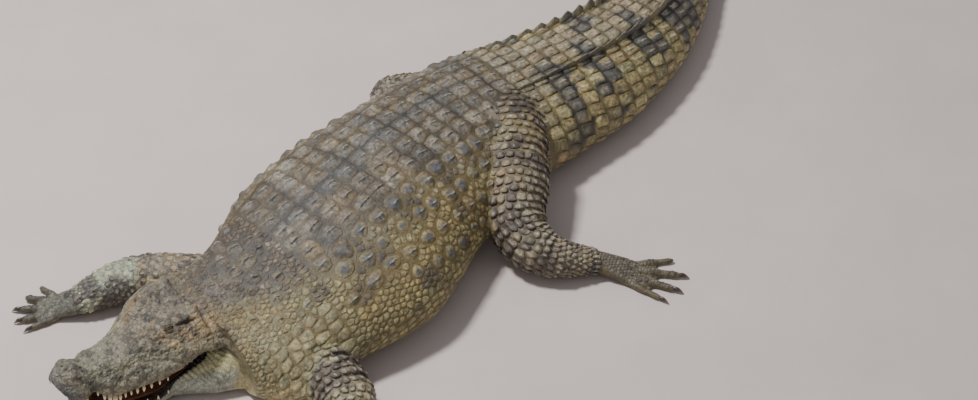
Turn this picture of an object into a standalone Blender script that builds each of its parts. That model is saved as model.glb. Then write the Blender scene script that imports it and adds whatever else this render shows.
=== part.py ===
# Nile crocodile at rest on its belly with the mouth open, life size.
# Metres, +Z up, floor at z = 0. Head toward -X, tail toward +X, left flank toward -Y.
# Every node is a closed loft of rings; neighbours keep a small clear gap.

import bmesh
import bpy
import math
from mathutils import Vector

GAP = 0.0003                 # clear space between neighbouring nodes
TOTAL_LENGTH = 4.0           # snout tip to tail tip along the back
SNOUT_TIP = (-1.382, 0.138)  # plan position of the snout tip
SPINE_STEP = 0.005
NECK_START = 0.56
TRUNK_START = 0.86
TAIL_START = 2.02
BODY_SIDES = 24
TAIL_SIDES = 16
LIMB_SIDES = 10
DIGIT_SIDES = 6
DOUBLE_CREST_WHORLS = 16     # tail rows carrying a pair of crest teeth
SINGLE_CREST_WHORLS = 18     # tail rows carrying one crest tooth
CREST_PEAK = 0.72            # place of the tooth tip within its row
TAIL_NODES = 6
TONGUE_SPAN = (0.12, 0.44)    # jaw stations covered by the tongue
ROOT_GAP = 0.0012            # clear space between a limb root and the trunk
HEAD_PITCH = 0.140           # slope of the lifted upper head
HEAD_HINGE = (0.535, 0.08)   # where the lift starts, and over what length it sets in
HEAD_LEVEL = 0.15            # height of the mouth line, about which each section tilts
EYE_RADIUS = 0.0165
EYE_PLACE = (0.380, 0.081, 0.2510)   # along the head, beside its axis, height

# Plan direction of the back line: distance from the snout tip, degrees.
HEADING_ROWS = (
    (0.00, -9.0), (0.50, -9.0), (0.70, -10.0), (0.90, -4.0), (1.20, 3.0),
    (1.50, 2.0), (1.80, -4.0), (2.10, -11.0), (2.40, -10.0), (2.70, 0.0),
    (2.95, 11.0), (3.30, 17.0), (3.70, 8.0), (4.00, 2.0),
)

# Body sections: distance, half width, top height, height of the widest point,
# sideways slump of the low part toward the left flank.
BODY_ROWS = (
    (0.40, 0.180, 0.230, 0.110, 0.000),
    (0.50, 0.232, 0.245, 0.112, 0.080),
    (0.60, 0.282, 0.265, 0.115, 0.175),
    (0.70, 0.314, 0.290, 0.120, 0.190),
    (0.82, 0.344, 0.318, 0.130, 0.135),
    (0.96, 0.396, 0.352, 0.140, 0.115),
    (1.10, 0.415, 0.382, 0.148, 0.120),
    (1.25, 0.396, 0.400, 0.150, 0.104),
    (1.42, 0.364, 0.405, 0.150, 0.092),
    (1.60, 0.334, 0.398, 0.150, 0.092),
    (1.78, 0.320, 0.380, 0.150, 0.078),
    (1.94, 0.312, 0.358, 0.150, 0.066),
    (2.12, 0.292, 0.332, 0.145, 0.062),
    (2.40, 0.262, 0.305, 0.135, 0.064),
    (2.70, 0.232, 0.280, 0.120, 0.022),
    (3.00, 0.172, 0.245, 0.100, 0.011),
    (3.30, 0.112, 0.200, 0.080, 0.008),
    (3.60, 0.064, 0.146, 0.060, 0.000),
    (3.85, 0.036, 0.094, 0.040, 0.000),
    (4.00, 0.012, 0.040, 0.018, 0.000),
)

# Crest tooth height above the section: distance, height.
CREST_ROWS = ((1.90, 0.006), (2.20, 0.020), (2.60, 0.040), (3.10, 0.054), (3.60, 0.056), (3.90, 0.040), (4.00, 0.020))

# Upper head: distance, jaw margin half width, plate half width, centre top,
# plate edge height, jaw margin height, palate height.
HEAD_ROWS = (
    (0.000, 0.028, 0.014, 0.180, 0.178, 0.156, 0.156),
    (0.010, 0.054, 0.028, 0.196, 0.193, 0.136, 0.150),
    (0.030, 0.074, 0.042, 0.212, 0.208, 0.122, 0.152),
    (0.058, 0.080, 0.045, 0.214, 0.209, 0.116, 0.154),
    (0.082, 0.076, 0.040, 0.206, 0.201, 0.122, 0.156),
    (0.100, 0.072, 0.037, 0.200, 0.196, 0.128, 0.156),
    (0.128, 0.094, 0.038, 0.199, 0.197, 0.112, 0.154),
    (0.165, 0.108, 0.040, 0.202, 0.201, 0.100, 0.153),
    (0.205, 0.114, 0.042, 0.205, 0.204, 0.098, 0.152),
    (0.250, 0.122, 0.047, 0.211, 0.211, 0.100, 0.151),
    (0.295, 0.139, 0.057, 0.221, 0.224, 0.106, 0.150),
    (0.330, 0.154, 0.069, 0.236, 0.247, 0.114, 0.149),
    (0.365, 0.168, 0.076, 0.246, 0.268, 0.126, 0.150),
    (0.400, 0.176, 0.082, 0.253, 0.271, 0.142, 0.153),
    (0.435, 0.181, 0.087, 0.259, 0.270, 0.160, 0.157),
    (0.470, 0.185, 0.091, 0.262, 0.271, 0.163, 0.158),
    (0.503, 0.190, 0.093, 0.263, 0.271, 0.158, 0.157),
    (0.512, 0.191, 0.086, 0.253, 0.253, 0.156, 0.156),
    (0.535, 0.193, 0.089, 0.252, 0.250, 0.155, 0.155),
    (0.560, 0.194, 0.098, 0.256, 0.253, 0.155, 0.156),
)

# Shift of the head and jaws toward the left side: distance, shift.
HEAD_LEAN_ROWS = ((0.0, 0.040), (0.25, 0.030), (0.40, 0.010), (0.56, 0.0))

# Lower jaw: distance, half width, rim height, rim width, mouth floor height.
JAW_ROWS = (
    (0.030, 0.018, 0.034, 0.014, 0.028),
    (0.042, 0.040, 0.042, 0.022, 0.032),
    (0.075, 0.056, 0.044, 0.022, 0.026),
    (0.120, 0.066, 0.038, 0.020, 0.020),
    (0.200, 0.086, 0.038, 0.020, 0.020),
    (0.280, 0.116, 0.042, 0.021, 0.022),
    (0.325, 0.136, 0.054, 0.022, 0.026),
    (0.355, 0.148, 0.088, 0.024, 0.036),
    (0.385, 0.158, 0.104, 0.026, 0.044),
    (0.430, 0.172, 0.118, 0.030, 0.060),
    (0.475, 0.181, 0.134, 0.036, 0.098),
    (0.505, 0.184, 0.149, 0.080, 0.149),
    (0.560, 0.190, 0.154, 0.080, 0.154),
)

# Loose throat hanging out over the floor on the left: distance, reach.
JOWL_ROWS = ((0.340, 0.0), (0.400, 0.030), (0.460, 0.075), (0.560, 0.130))

# Teeth along a jaw margin: distance and standing height.
UPPER_TEETH = (
    (0.016, 0.014), (0.034, 0.018), (0.052, 0.024), (0.070, 0.018), (0.110, 0.012),
    (0.126, 0.018), (0.142, 0.024), (0.158, 0.029), (0.174, 0.020), (0.192, 0.014),
    (0.212, 0.013), (0.234, 0.017), (0.256, 0.019), (0.280, 0.016), (0.306, 0.013), (0.332, 0.010),
)
LOWER_TEETH = (
    (0.046, 0.020), (0.062, 0.014), (0.078, 0.014), (0.098, 0.028), (0.124, 0.013),
    (0.148, 0.012), (0.172, 0.012), (0.200, 0.014), (0.230, 0.017), (0.262, 0.018), (0.296, 0.014), (0.330, 0.011),
)
TOOTH_SIDES = 5
TOOTH_SLENDER = 0.27         # root radius over standing height
TOOTH_ROOT = 0.010           # length sunk into the jaw

# Limbs: centre-line points from inside the body to the wrist or ankle, then
# the radii across and up at each of them.
FORE_RIGHT = (
    ((-0.600, 0.010, 0.125), 0.090, 0.092),
    ((-0.655, 0.130, 0.116), 0.092, 0.092),
    ((-0.715, 0.250, 0.104), 0.088, 0.086),
    ((-0.780, 0.372, 0.086), 0.082, 0.078),
    ((-0.868, 0.440, 0.072), 0.075, 0.069),
    ((-0.940, 0.468, 0.060), 0.063, 0.057),
    ((-0.985, 0.494, 0.049), 0.057, 0.045),
)
FORE_LEFT = (
    ((-0.620, -0.160, 0.120), 0.098, 0.095),
    ((-0.672, -0.320, 0.108), 0.098, 0.092),
    ((-0.715, -0.440, 0.098), 0.098, 0.090),
    ((-0.752, -0.560, 0.090), 0.092, 0.084),
    ((-0.825, -0.650, 0.074), 0.076, 0.069),
    ((-0.905, -0.720, 0.056), 0.058, 0.052),
    ((-0.940, -0.750, 0.048), 0.055, 0.044),
)
HIND_LEFT = (
    ((0.610, -0.070, 0.215), 0.120, 0.110),
    ((0.500, -0.205, 0.235), 0.126, 0.112),
    ((0.345, -0.350, 0.205), 0.122, 0.112),
    ((0.200, -0.485, 0.130), 0.103, 0.100),
    ((0.195, -0.620, 0.088), 0.078, 0.076),
    ((0.270, -0.710, 0.060), 0.058, 0.054),
    ((0.315, -0.745, 0.046), 0.052, 0.042),
)
HIND_RIGHT = (
    ((0.640, -0.010, 0.180), 0.112, 0.110),
    ((0.550, 0.120, 0.165), 0.108, 0.108),
    ((0.475, 0.240, 0.140), 0.096, 0.098),
    ((0.458, 0.340, 0.108), 0.076, 0.080),
    ((0.520, 0.405, 0.080), 0.060, 0.062),
    ((0.615, 0.395, 0.058), 0.050, 0.050),
    ((0.680, 0.360, 0.045), 0.046, 0.038),
)
# Places along a limb path, 0 to 1, where the long bones meet.
FORE_CUT = 0.50
HIND_CUT = 0.50
LIMB_RINGS = 5               # rings in each limb length

# Feet: plan heading of the foot, palm length, palm half width, palm thickness,
# digit headings from the inner to the outer one, digit lengths, digit root radius.
FORE_FOOT = {
    "palm": 0.090, "half": 0.056, "thick": 0.044, "radius": 0.0175,
    "angles": (-29.0, -13.0, 1.0, 16.0, 40.0),
    "lengths": (0.078, 0.104, 0.114, 0.104, 0.080),
    "spread": (-0.040, -0.022, 0.0, 0.022, 0.042), "claws": 3, "claw": 0.026,
}
HIND_FOOT = {
    "palm": 0.150, "half": 0.058, "thick": 0.044, "radius": 0.0175,
    "angles": (-20.0, -7.0, 7.0, 24.0),
    "lengths": (0.115, 0.145, 0.150, 0.125),
    "spread": (-0.038, -0.013, 0.014, 0.040), "claws": 3, "claw": 0.032,
}

MATERIALS = {
    "hide": ((0.165, 0.145, 0.085), 0.55),
    "eye": ((0.300, 0.220, 0.050), 0.08),
    "claw": ((0.060, 0.050, 0.038), 0.35),
    "mouth": ((0.420, 0.200, 0.090), 0.40),
}


def clear_scene():
    for item in list(bpy.data.objects):
        bpy.data.objects.remove(item, do_unlink=True)


def sample(rows, place):
    # Smooth curve through table rows, flat beyond the ends.
    if place <= rows[0][0]:
        return rows[0][1:]
    if place >= rows[-1][0]:
        return rows[-1][1:]
    index = 0
    while rows[index + 1][0] < place:
        index += 1
    before = rows[max(index - 1, 0)]
    start = rows[index]
    end = rows[index + 1]
    after = rows[min(index + 2, len(rows) - 1)]
    span = end[0] - start[0]
    t = (place - start[0]) / span
    values = []
    for column in range(1, len(start)):
        slope_a = (end[column] - before[column]) / (end[0] - before[0])
        slope_b = (after[column] - start[column]) / (after[0] - start[0])
        h00 = 2 * t ** 3 - 3 * t ** 2 + 1
        h10 = t ** 3 - 2 * t ** 2 + t
        h01 = 3 * t ** 2 - 2 * t ** 3
        h11 = t ** 3 - t ** 2
        values.append(h00 * start[column] + h10 * span * slope_a + h01 * end[column] + h11 * span * slope_b)
    return tuple(values)


def build_spine():
    # Plan points and headings every SPINE_STEP along the back line.
    points = []
    x, y = SNOUT_TIP
    count = int(round(TOTAL_LENGTH / SPINE_STEP))
    for index in range(count + 1):
        angle = math.radians(sample(HEADING_ROWS, index * SPINE_STEP)[0])
        points.append((x, y, angle))
        x += math.cos(angle) * SPINE_STEP
        y += math.sin(angle) * SPINE_STEP
    return points


SPINE = build_spine()


def spine_at(place):
    index = min(max(place / SPINE_STEP, 0.0), len(SPINE) - 1.001)
    low = int(index)
    t = index - low
    a = SPINE[low]
    b = SPINE[low + 1]
    return tuple(a[k] * (1 - t) + b[k] * t for k in range(3))


def place_ring(place, pairs):
    # Turn (sideways, up) pairs into points square to the back line.
    x, y, angle = spine_at(place)
    side = (-math.sin(angle), math.cos(angle))
    return [Vector((x + side[0] * v, y + side[1] * v, z)) for v, z in pairs]


def place_head_ring(place, pairs):
    # Sections of the upper head, lifted and tilted about the jaw hinge.
    hinge, blend = HEAD_HINGE
    ahead = max(hinge - place, 0.0)
    inner = min(ahead, blend)
    lift = HEAD_PITCH * (inner * inner / (2 * blend) + max(ahead - blend, 0.0))
    tilt = HEAD_PITCH * inner / blend
    points = []
    for v, z in pairs:
        station = place + (z - HEAD_LEVEL) * tilt
        points.append(place_ring(station, [(v - head_lean(place), z + lift)])[0])
    return points


def head_lean(place):
    return sample(HEAD_LEAN_ROWS, place)[0]


def power(value, exponent):
    return math.copysign(abs(value) ** exponent, value)


def body_pairs(place, sides, grow=0.0):
    half, top, wide, slump = sample(BODY_ROWS, place)
    sink = 0.06 * wide
    pairs = []
    for index in range(sides):
        angle = 2 * math.pi * index / sides
        v = (half + grow) * power(math.cos(angle), 0.93)
        rise = math.sin(angle)
        if rise >= 0:
            z = wide + (top + grow - wide) * power(rise, 0.97)
        else:
            z = wide - (wide + sink) * abs(power(rise, 0.80))
        low = max(z, -grow)
        pairs.append((v - slump * (1 - (low / top) ** 3), low))
    return pairs


def tail_pairs(place, sides, tooth, double):
    pairs = body_pairs(place, sides)
    quarter = sides // 4
    if tooth <= 0:
        return pairs
    marks = (quarter - 1, quarter + 1) if double else (quarter,)
    for mark in marks:
        v, z = pairs[mark]
        lift = tooth * (0.92 if double else 1.0)
        pairs[mark] = (v * (1.04 if double else 1.0), z + lift)
    return pairs


def add_loft(mesh, rings, cap_start=True, cap_end=True):
    layers = [[mesh.verts.new(point) for point in ring] for ring in rings]
    count = len(rings[0])
    for first, second in zip(layers, layers[1:]):
        for index in range(count):
            following = (index + 1) % count
            mesh.faces.new((first[index], first[following], second[following], second[index]))
    if cap_start:
        mesh.faces.new(tuple(reversed(layers[0])))
    if cap_end:
        mesh.faces.new(tuple(layers[-1]))


def close_mesh(mesh):
    bmesh.ops.remove_doubles(mesh, verts=mesh.verts, dist=0.00001)
    bmesh.ops.dissolve_degenerate(mesh, edges=mesh.edges, dist=0.00001)
    bmesh.ops.triangulate(mesh, faces=mesh.faces)
    bmesh.ops.recalc_face_normals(mesh, faces=mesh.faces)


def new_object(name, mesh, kind):
    close_mesh(mesh)
    data = bpy.data.meshes.new(name)
    mesh.to_mesh(data)
    mesh.free()
    for face in data.polygons:
        face.use_smooth = True
    item = bpy.data.objects.new(name, data)
    bpy.context.scene.collection.objects.link(item)
    colour, roughness = MATERIALS[kind]
    material = bpy.data.materials.new(name + "_" + kind)
    material.use_nodes = True
    shader = material.node_tree.nodes["Principled BSDF"]
    shader.inputs["Base Color"].default_value = (*colour, 1.0)
    shader.inputs["Roughness"].default_value = roughness
    shader.inputs["Metallic"].default_value = 0.0
    item.data.materials.append(material)
    return item


def loft_object(name, rings, kind):
    mesh = bmesh.new()
    add_loft(mesh, rings)
    return new_object(name, mesh, kind)


def combine(item, other, operation):
    modifier = item.modifiers.new(operation.lower(), "BOOLEAN")
    modifier.operation = operation
    modifier.solver = "EXACT"
    modifier.object = other
    bpy.context.view_layer.update()
    graph = bpy.context.evaluated_depsgraph_get()
    result = bpy.data.meshes.new_from_object(item.evaluated_get(graph))
    item.modifiers.clear()
    old = item.data
    item.data = result
    bpy.data.meshes.remove(old)
    bpy.data.objects.remove(other, do_unlink=True)
    mesh = bmesh.new()
    mesh.from_mesh(item.data)
    close_mesh(mesh)
    mesh.to_mesh(item.data)
    mesh.free()


def body_length(name, start, end, rings):
    places = [start + (end - start) * k / rings for k in range(rings + 1)]
    places[0] += GAP / 2
    places[-1] -= GAP / 2
    return loft_object(name, [place_ring(s, body_pairs(s, BODY_SIDES)) for s in places], "hide")


def whorl_starts():
    # Row starts along the tail; rows shorten toward the tip.
    count = DOUBLE_CREST_WHORLS + SINGLE_CREST_WHORLS
    sizes = [1.0 - 0.45 * (k / count) for k in range(count)]
    scale = (TOTAL_LENGTH - 0.02 - TAIL_START) / sum(sizes)
    starts = [TAIL_START]
    for size in sizes:
        starts.append(starts[-1] + size * scale)
    return starts


def build_tail():
    starts = whorl_starts()
    total = len(starts) - 1
    bounds = [round(total * k / TAIL_NODES) for k in range(TAIL_NODES + 1)]
    for node in range(TAIL_NODES):
        rings = []
        for whorl in range(bounds[node], bounds[node + 1]):
            low, high = starts[whorl], starts[whorl + 1]
            double = whorl < DOUBLE_CREST_WHORLS
            peak = low + (high - low) * CREST_PEAK
            first = low + GAP / 2 if whorl == bounds[node] else low
            rings.append(place_ring(first, tail_pairs(first, TAIL_SIDES, 0, double)))
            tooth = sample(CREST_ROWS, peak)[0]
            rings.append(place_ring(peak, tail_pairs(peak, TAIL_SIDES, tooth, double)))
        last = starts[bounds[node + 1]]
        last = last - GAP / 2 if node < TAIL_NODES - 1 else TOTAL_LENGTH
        rings.append(place_ring(last, tail_pairs(last, TAIL_SIDES, 0, True)))
        loft_object("tail_%d" % (node + 1), rings, "hide")


def head_pairs(place):
    half, plate, top, brow, edge, palate = sample(HEAD_ROWS, place)
    right = [
        (plate * 0.55, (top + brow) / 2),
        (plate, brow),
        (plate + (half - plate) * 0.45, brow + (edge - brow) * 0.30),
        (plate + (half - plate) * 0.90, brow + (edge - brow) * 0.62),
        (half, edge + (brow - edge) * 0.12),
        (half * 0.95, edge),
        (half * 0.74, edge + (palate - edge) * 0.75),
        (half * 0.36, palate),
    ]
    left = [(-v, z) for v, z in reversed(right)]
    return [(0.0, top)] + right + [(0.0, palate)] + left


def jaw_pairs(place):
    half, rim, width, floor = sample(JAW_ROWS, place)
    inner = max(half - width, half * 0.3)
    right = [
        (half * 0.62, 0.0),
        (half * 0.88, rim * 0.16),
        (half, rim * 0.62),
        (half * 0.97, rim),
        (inner + (half - inner) * 0.25, rim),
        (inner * 0.82, floor),
    ]
    jowl = sample(JOWL_ROWS, place)[0]
    left = [(-v - jowl * (1 - (z / rim) ** 2) * (z < rim), z) for v, z in reversed(right)]
    return [(0.0, 0.0)] + right + [(0.0, floor)] + left


def place_jaw_ring(place, pairs):
    return place_ring(place, [(v - head_lean(place), z) for v, z in pairs])


def add_tooth(mesh, root, tip, radius):
    axis = (tip - root).normalized()
    across = axis.cross(Vector((0, 0, 1))).normalized() if abs(axis.z) < 0.99 else Vector((1, 0, 0))
    other = axis.cross(across)
    rings = []
    for share, size in ((0.0, 1.0), (1.0, 0.12)):
        centre = root + (tip - root) * share
        ring = []
        for k in range(TOOTH_SIDES):
            angle = 2 * math.pi * k / TOOTH_SIDES
            ring.append(centre + (across * math.cos(angle) + other * math.sin(angle)) * radius * size)
        rings.append(ring)
    add_loft(mesh, rings)


def add_teeth(item, table, upper):
    mesh = bmesh.new()
    for place, height in table:
        radius = height * TOOTH_SLENDER
        for hand in (-1, 1):
            if upper:
                half, _, _, _, edge, _ = sample(HEAD_ROWS, place)
                level = edge
                lean = 0.10
            else:
                half, edge, _, _ = sample(JAW_ROWS, place)
                level = edge
                lean = 0.18
            aside = hand * (half - radius - 0.003)
            down = -1 if upper else 1
            root_pair = (aside, level - down * TOOTH_ROOT)
            tip_pair = (aside + hand * height * lean, level + down * height)
            ring = place_head_ring if upper else place_jaw_ring
            root, tip = ring(place, [root_pair, tip_pair])
            add_tooth(mesh, root, tip, radius)
    teeth = new_object("teeth_cutter", mesh, "hide")
    combine(item, teeth, "UNION")


def ball(name, centre, radius, rings, sides, kind):
    mesh = bmesh.new()
    bmesh.ops.create_uvsphere(mesh, u_segments=sides, v_segments=rings, radius=radius)
    bmesh.ops.translate(mesh, vec=centre, verts=mesh.verts)
    return new_object(name, mesh, kind)


def build_head():
    places = [row[0] for row in HEAD_ROWS]
    places[-1] -= GAP / 2
    head = loft_object("head", [place_head_ring(s, head_pairs(s)) for s in places], "hide")
    add_teeth(head, UPPER_TEETH, True)
    along, aside, height = EYE_PLACE
    for name, hand in (("eye_left", -1), ("eye_right", 1)):
        centre = place_head_ring(along, [(hand * aside, height)])[0]
        socket = ball("socket_cutter", centre, EYE_RADIUS + GAP, 7, 10, "hide")
        combine(head, socket, "DIFFERENCE")
        ball(name, centre, EYE_RADIUS, 7, 10, "eye")
    jaw_places = [row[0] for row in JAW_ROWS]
    jaw_places[-1] -= GAP / 2
    jaw = loft_object("lower_jaw", [place_jaw_ring(s, jaw_pairs(s)) for s in jaw_places], "hide")
    add_teeth(jaw, LOWER_TEETH, False)


def build_tongue():
    # The tongue follows the stations of the jaw, so it lies flat on the mouth floor.
    rings = []
    rows = [row for row in JAW_ROWS if TONGUE_SPAN[0] <= row[0] <= TONGUE_SPAN[1]]
    for place, half, rim, width, floor in rows:
        t = (place - rows[0][0]) / (rows[-1][0] - rows[0][0])
        reach = (half - width) * 0.70 * (0.25 + 0.75 * math.sin(math.pi * min(t * 1.6 + 0.05, 1.0) / 2))
        low = floor + GAP
        lift = 0.016 * (0.3 + 0.7 * math.sin(math.pi * min(t * 1.2 + 0.1, 0.9)))
        rings.append(place_jaw_ring(place, [
            (-reach, low), (-reach * 0.85, low + lift * 0.8), (0.0, low + lift),
            (reach * 0.85, low + lift * 0.8), (reach, low), (0.0, low),
        ]))
    loft_object("tongue", rings, "mouth")


def limb_curve(rows, t):
    # Point and radii at share t of a limb path.
    table = tuple((k / (len(rows) - 1), *row[0], row[1], row[2]) for k, row in enumerate(rows))
    values = sample(table, t)
    return Vector(values[:3]), values[3], values[4]


def limb_ring(rows, t, sides, shift=0.0):
    step = 0.10
    centre, wide, tall = limb_curve(rows, t)
    ahead = limb_curve(rows, min(t + step, 1.0))[0]
    behind = limb_curve(rows, max(t - step, 0.0))[0]
    axis = (ahead - behind).normalized()
    across = axis.cross(Vector((0, 0, 1))).normalized()
    up = across.cross(axis).normalized()
    centre = centre + axis * shift
    ring = []
    for k in range(sides):
        angle = 2 * math.pi * k / sides
        point = centre + across * (wide * math.cos(angle)) + up * (tall * math.sin(angle))
        ring.append(point)
    return ring


def rest_on_floor(item):
    mesh = bmesh.new()
    mesh.from_mesh(item.data)
    bmesh.ops.bisect_plane(
        mesh, geom=list(mesh.verts) + list(mesh.edges) + list(mesh.faces),
        plane_co=(0, 0, 0), plane_no=(0, 0, -1), clear_outer=True,
    )
    edges = [edge for edge in mesh.edges if edge.is_boundary]
    if edges:
        bmesh.ops.holes_fill(mesh, edges=edges, sides=0)
    close_mesh(mesh)
    mesh.to_mesh(item.data)
    mesh.free()


def grown_copy(item, amount):
    # The same solid pushed outward a little, used to cut a clear gap.
    mesh = bmesh.new()
    mesh.from_mesh(item.data)
    mesh.normal_update()
    moves = [(vert, vert.normal.copy()) for vert in mesh.verts]
    for vert, normal in moves:
        vert.co += normal * amount
    return new_object(item.name + "_cutter", mesh, "hide")


def build_limb(prefix, names, rows, cut, neighbours):
    first = []
    second = []
    for k in range(LIMB_RINGS + 1):
        t = cut * k / LIMB_RINGS
        first.append(limb_ring(rows, t, LIMB_SIDES, -GAP / 2 if k == LIMB_RINGS else 0.0))
        t = cut + (1 - cut) * k / LIMB_RINGS
        shift = GAP / 2 if k == 0 else (-GAP / 2 if k == LIMB_RINGS else 0.0)
        second.append(limb_ring(rows, t, LIMB_SIDES, shift))
    upper = loft_object(names[0] + "_" + prefix, first, "hide")
    rest_on_floor(upper)
    for neighbour in neighbours:
        combine(upper, grown_copy(bpy.data.objects[neighbour], ROOT_GAP), "DIFFERENCE")
    lower = loft_object(names[1] + "_" + prefix, second, "hide")
    rest_on_floor(lower)
    for neighbour in neighbours:
        combine(lower, grown_copy(bpy.data.objects[neighbour], ROOT_GAP), "DIFFERENCE")


def build_foot(name, rows, style, heading, flip, side_name):
    # Palm and digits joined; the palm starts where the limb ends.
    centre, wide, tall = limb_curve(rows, 1.0)
    behind = limb_curve(rows, 0.98)[0]
    axis = (centre - behind).normalized()
    start_ring = limb_ring(rows, 1.0, LIMB_SIDES, GAP / 2)
    angle = math.radians(heading)
    forward = Vector((math.cos(angle), math.sin(angle), 0))
    side = Vector((-forward.y, forward.x, 0)) * flip
    rings = [start_ring]
    across = axis.cross(Vector((0, 0, 1))).normalized()
    shares = (0.30, 0.62, 1.0)
    for share in shares:
        middle = Vector((centre.x, centre.y, 0)) + forward * style["palm"] * share
        half = wide + (style["half"] - wide) * share
        thick = tall * 2 + (style["thick"] - tall * 2) * share
        blend = across.lerp(side if across.dot(side) > 0 else -side, min(share * 1.6, 1.0)).normalized()
        ring = []
        for k in range(LIMB_SIDES):
            turn = 2 * math.pi * k / LIMB_SIDES
            point = middle + blend * (half * math.cos(turn))
            point.z = thick * 0.5 + thick * 0.5 * math.sin(turn) * (1.0 if share < 1 else 0.85)
            ring.append(point)
        rings.append(ring)
    palm = loft_object(name + "_" + side_name, rings, "hide")
    root_centre = Vector((centre.x, centre.y, 0)) + forward * style["palm"] * 0.72
    for index, (turn, length, aside) in enumerate(zip(style["angles"], style["lengths"], style["spread"])):
        way = math.radians(turn)
        out = forward * math.cos(way) + side * math.sin(way)
        start = root_centre + side * aside
        radius = style["radius"] * (0.85 if index in (0, len(style["angles"]) - 1) else 1.0)
        reach = style["palm"] * 0.28 + length
        cross = Vector((-out.y, out.x, 0))
        rings = []
        for share, size, drop in ((0.0, 1.0, 1.0), (0.45, 0.98, 1.0), (0.90, 0.76, 0.8), (1.0, 0.50, 0.7)):
            rings.append(digit_ring(start + out * reach * share, cross, radius * size, radius * (0.55 + 0.35 * drop)))
        digit = loft_object("digit_cutter", rings, "hide")
        if index < style["claws"]:
            build_claw(name, side_name, index, start + out * (reach + GAP), out, cross, radius, style["claw"])
        combine(palm, digit, "UNION")
    rest_on_floor(palm)


def digit_ring(centre, cross, radius, level):
    ring = []
    for k in range(DIGIT_SIDES):
        turn = 2 * math.pi * (k + 0.5) / DIGIT_SIDES
        point = centre + cross * (radius * math.cos(turn))
        point.z = level + radius * math.sin(turn)
        ring.append(point)
    return ring


def build_claw(name, side_name, index, root, out, cross, radius, length):
    rings = []
    for share, size, level in ((0.0, 0.46, 0.86), (0.55, 0.34, 0.74), (1.0, 0.06, 0.16)):
        rings.append(digit_ring(root + out * length * share, cross, radius * size, radius * level))
    item = loft_object("claw_%s_%s_%d" % (name, side_name, index + 1), rings, "claw")
    rest_on_floor(item)


def build_legs():
    front = ("lower_jaw", "neck", "chest")
    back = ("belly", "hips", "tail_1")
    build_limb("right", ("upper_arm", "forearm"), FORE_RIGHT, FORE_CUT, front)
    build_foot("hand", FORE_RIGHT, FORE_FOOT, 133.0, -1, "right")
    build_limb("left", ("upper_arm", "forearm"), FORE_LEFT, FORE_CUT, front)
    build_foot("hand", FORE_LEFT, FORE_FOOT, 218.0, 1, "left")
    build_limb("left", ("thigh", "shank"), HIND_LEFT, HIND_CUT, back)
    build_foot("foot", HIND_LEFT, HIND_FOOT, -65.0, 1, "left")
    build_limb("right", ("thigh", "shank"), HIND_RIGHT, HIND_CUT, back)
    build_foot("foot", HIND_RIGHT, HIND_FOOT, -10.0, -1, "right")


clear_scene()
build_head()
build_tongue()
body_length("neck", NECK_START, TRUNK_START, 4)
body_length("chest", TRUNK_START, 1.24, 5)
body_length("belly", 1.24, 1.64, 5)
body_length("hips", 1.64, TAIL_START, 5)
build_tail()
build_legs()
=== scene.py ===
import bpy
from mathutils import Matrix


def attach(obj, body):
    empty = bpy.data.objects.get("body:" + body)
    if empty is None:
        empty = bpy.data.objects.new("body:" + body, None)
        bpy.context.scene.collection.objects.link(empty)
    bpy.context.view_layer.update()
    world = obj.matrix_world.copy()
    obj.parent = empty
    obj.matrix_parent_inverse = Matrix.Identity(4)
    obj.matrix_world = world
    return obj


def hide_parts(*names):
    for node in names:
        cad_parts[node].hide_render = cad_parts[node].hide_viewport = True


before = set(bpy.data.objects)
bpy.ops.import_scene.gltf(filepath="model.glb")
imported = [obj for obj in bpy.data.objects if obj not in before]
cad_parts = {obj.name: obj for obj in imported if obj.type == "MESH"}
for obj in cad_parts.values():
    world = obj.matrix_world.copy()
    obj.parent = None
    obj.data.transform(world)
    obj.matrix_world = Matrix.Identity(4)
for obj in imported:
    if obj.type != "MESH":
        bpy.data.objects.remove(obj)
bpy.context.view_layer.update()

import bpy
import bmesh
import math
import numpy as np
from mathutils import Vector
from mathutils.bvhtree import BVHTree
from mathutils.kdtree import KDTree

# A resting Nile crocodile: one hide over the whole animal, with horny scales laid over it.
# Places on the body: s runs along the back from the snout tip, y is the distance
# round the body from the middle of the back, right side positive.

body = {
    "snoutTip": (-1.382, 0.138),
    "length": 4.0,
    "tailStart": 2.02,
    "doubleWhorls": 16,
    "singleWhorls": 18,
    "hideVoxel": 0.0052,      # grid of the hide before the fine work
    "seed": 7,
}

headingRows = (
    (0.00, -9.0), (0.50, -9.0), (0.70, -10.0), (0.90, -4.0), (1.20, 3.0),
    (1.50, 2.0), (1.80, -4.0), (2.10, -11.0), (2.40, -10.0), (2.70, 0.0),
    (2.95, 11.0), (3.30, 17.0), (3.70, 8.0), (4.00, 2.0),
)

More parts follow.
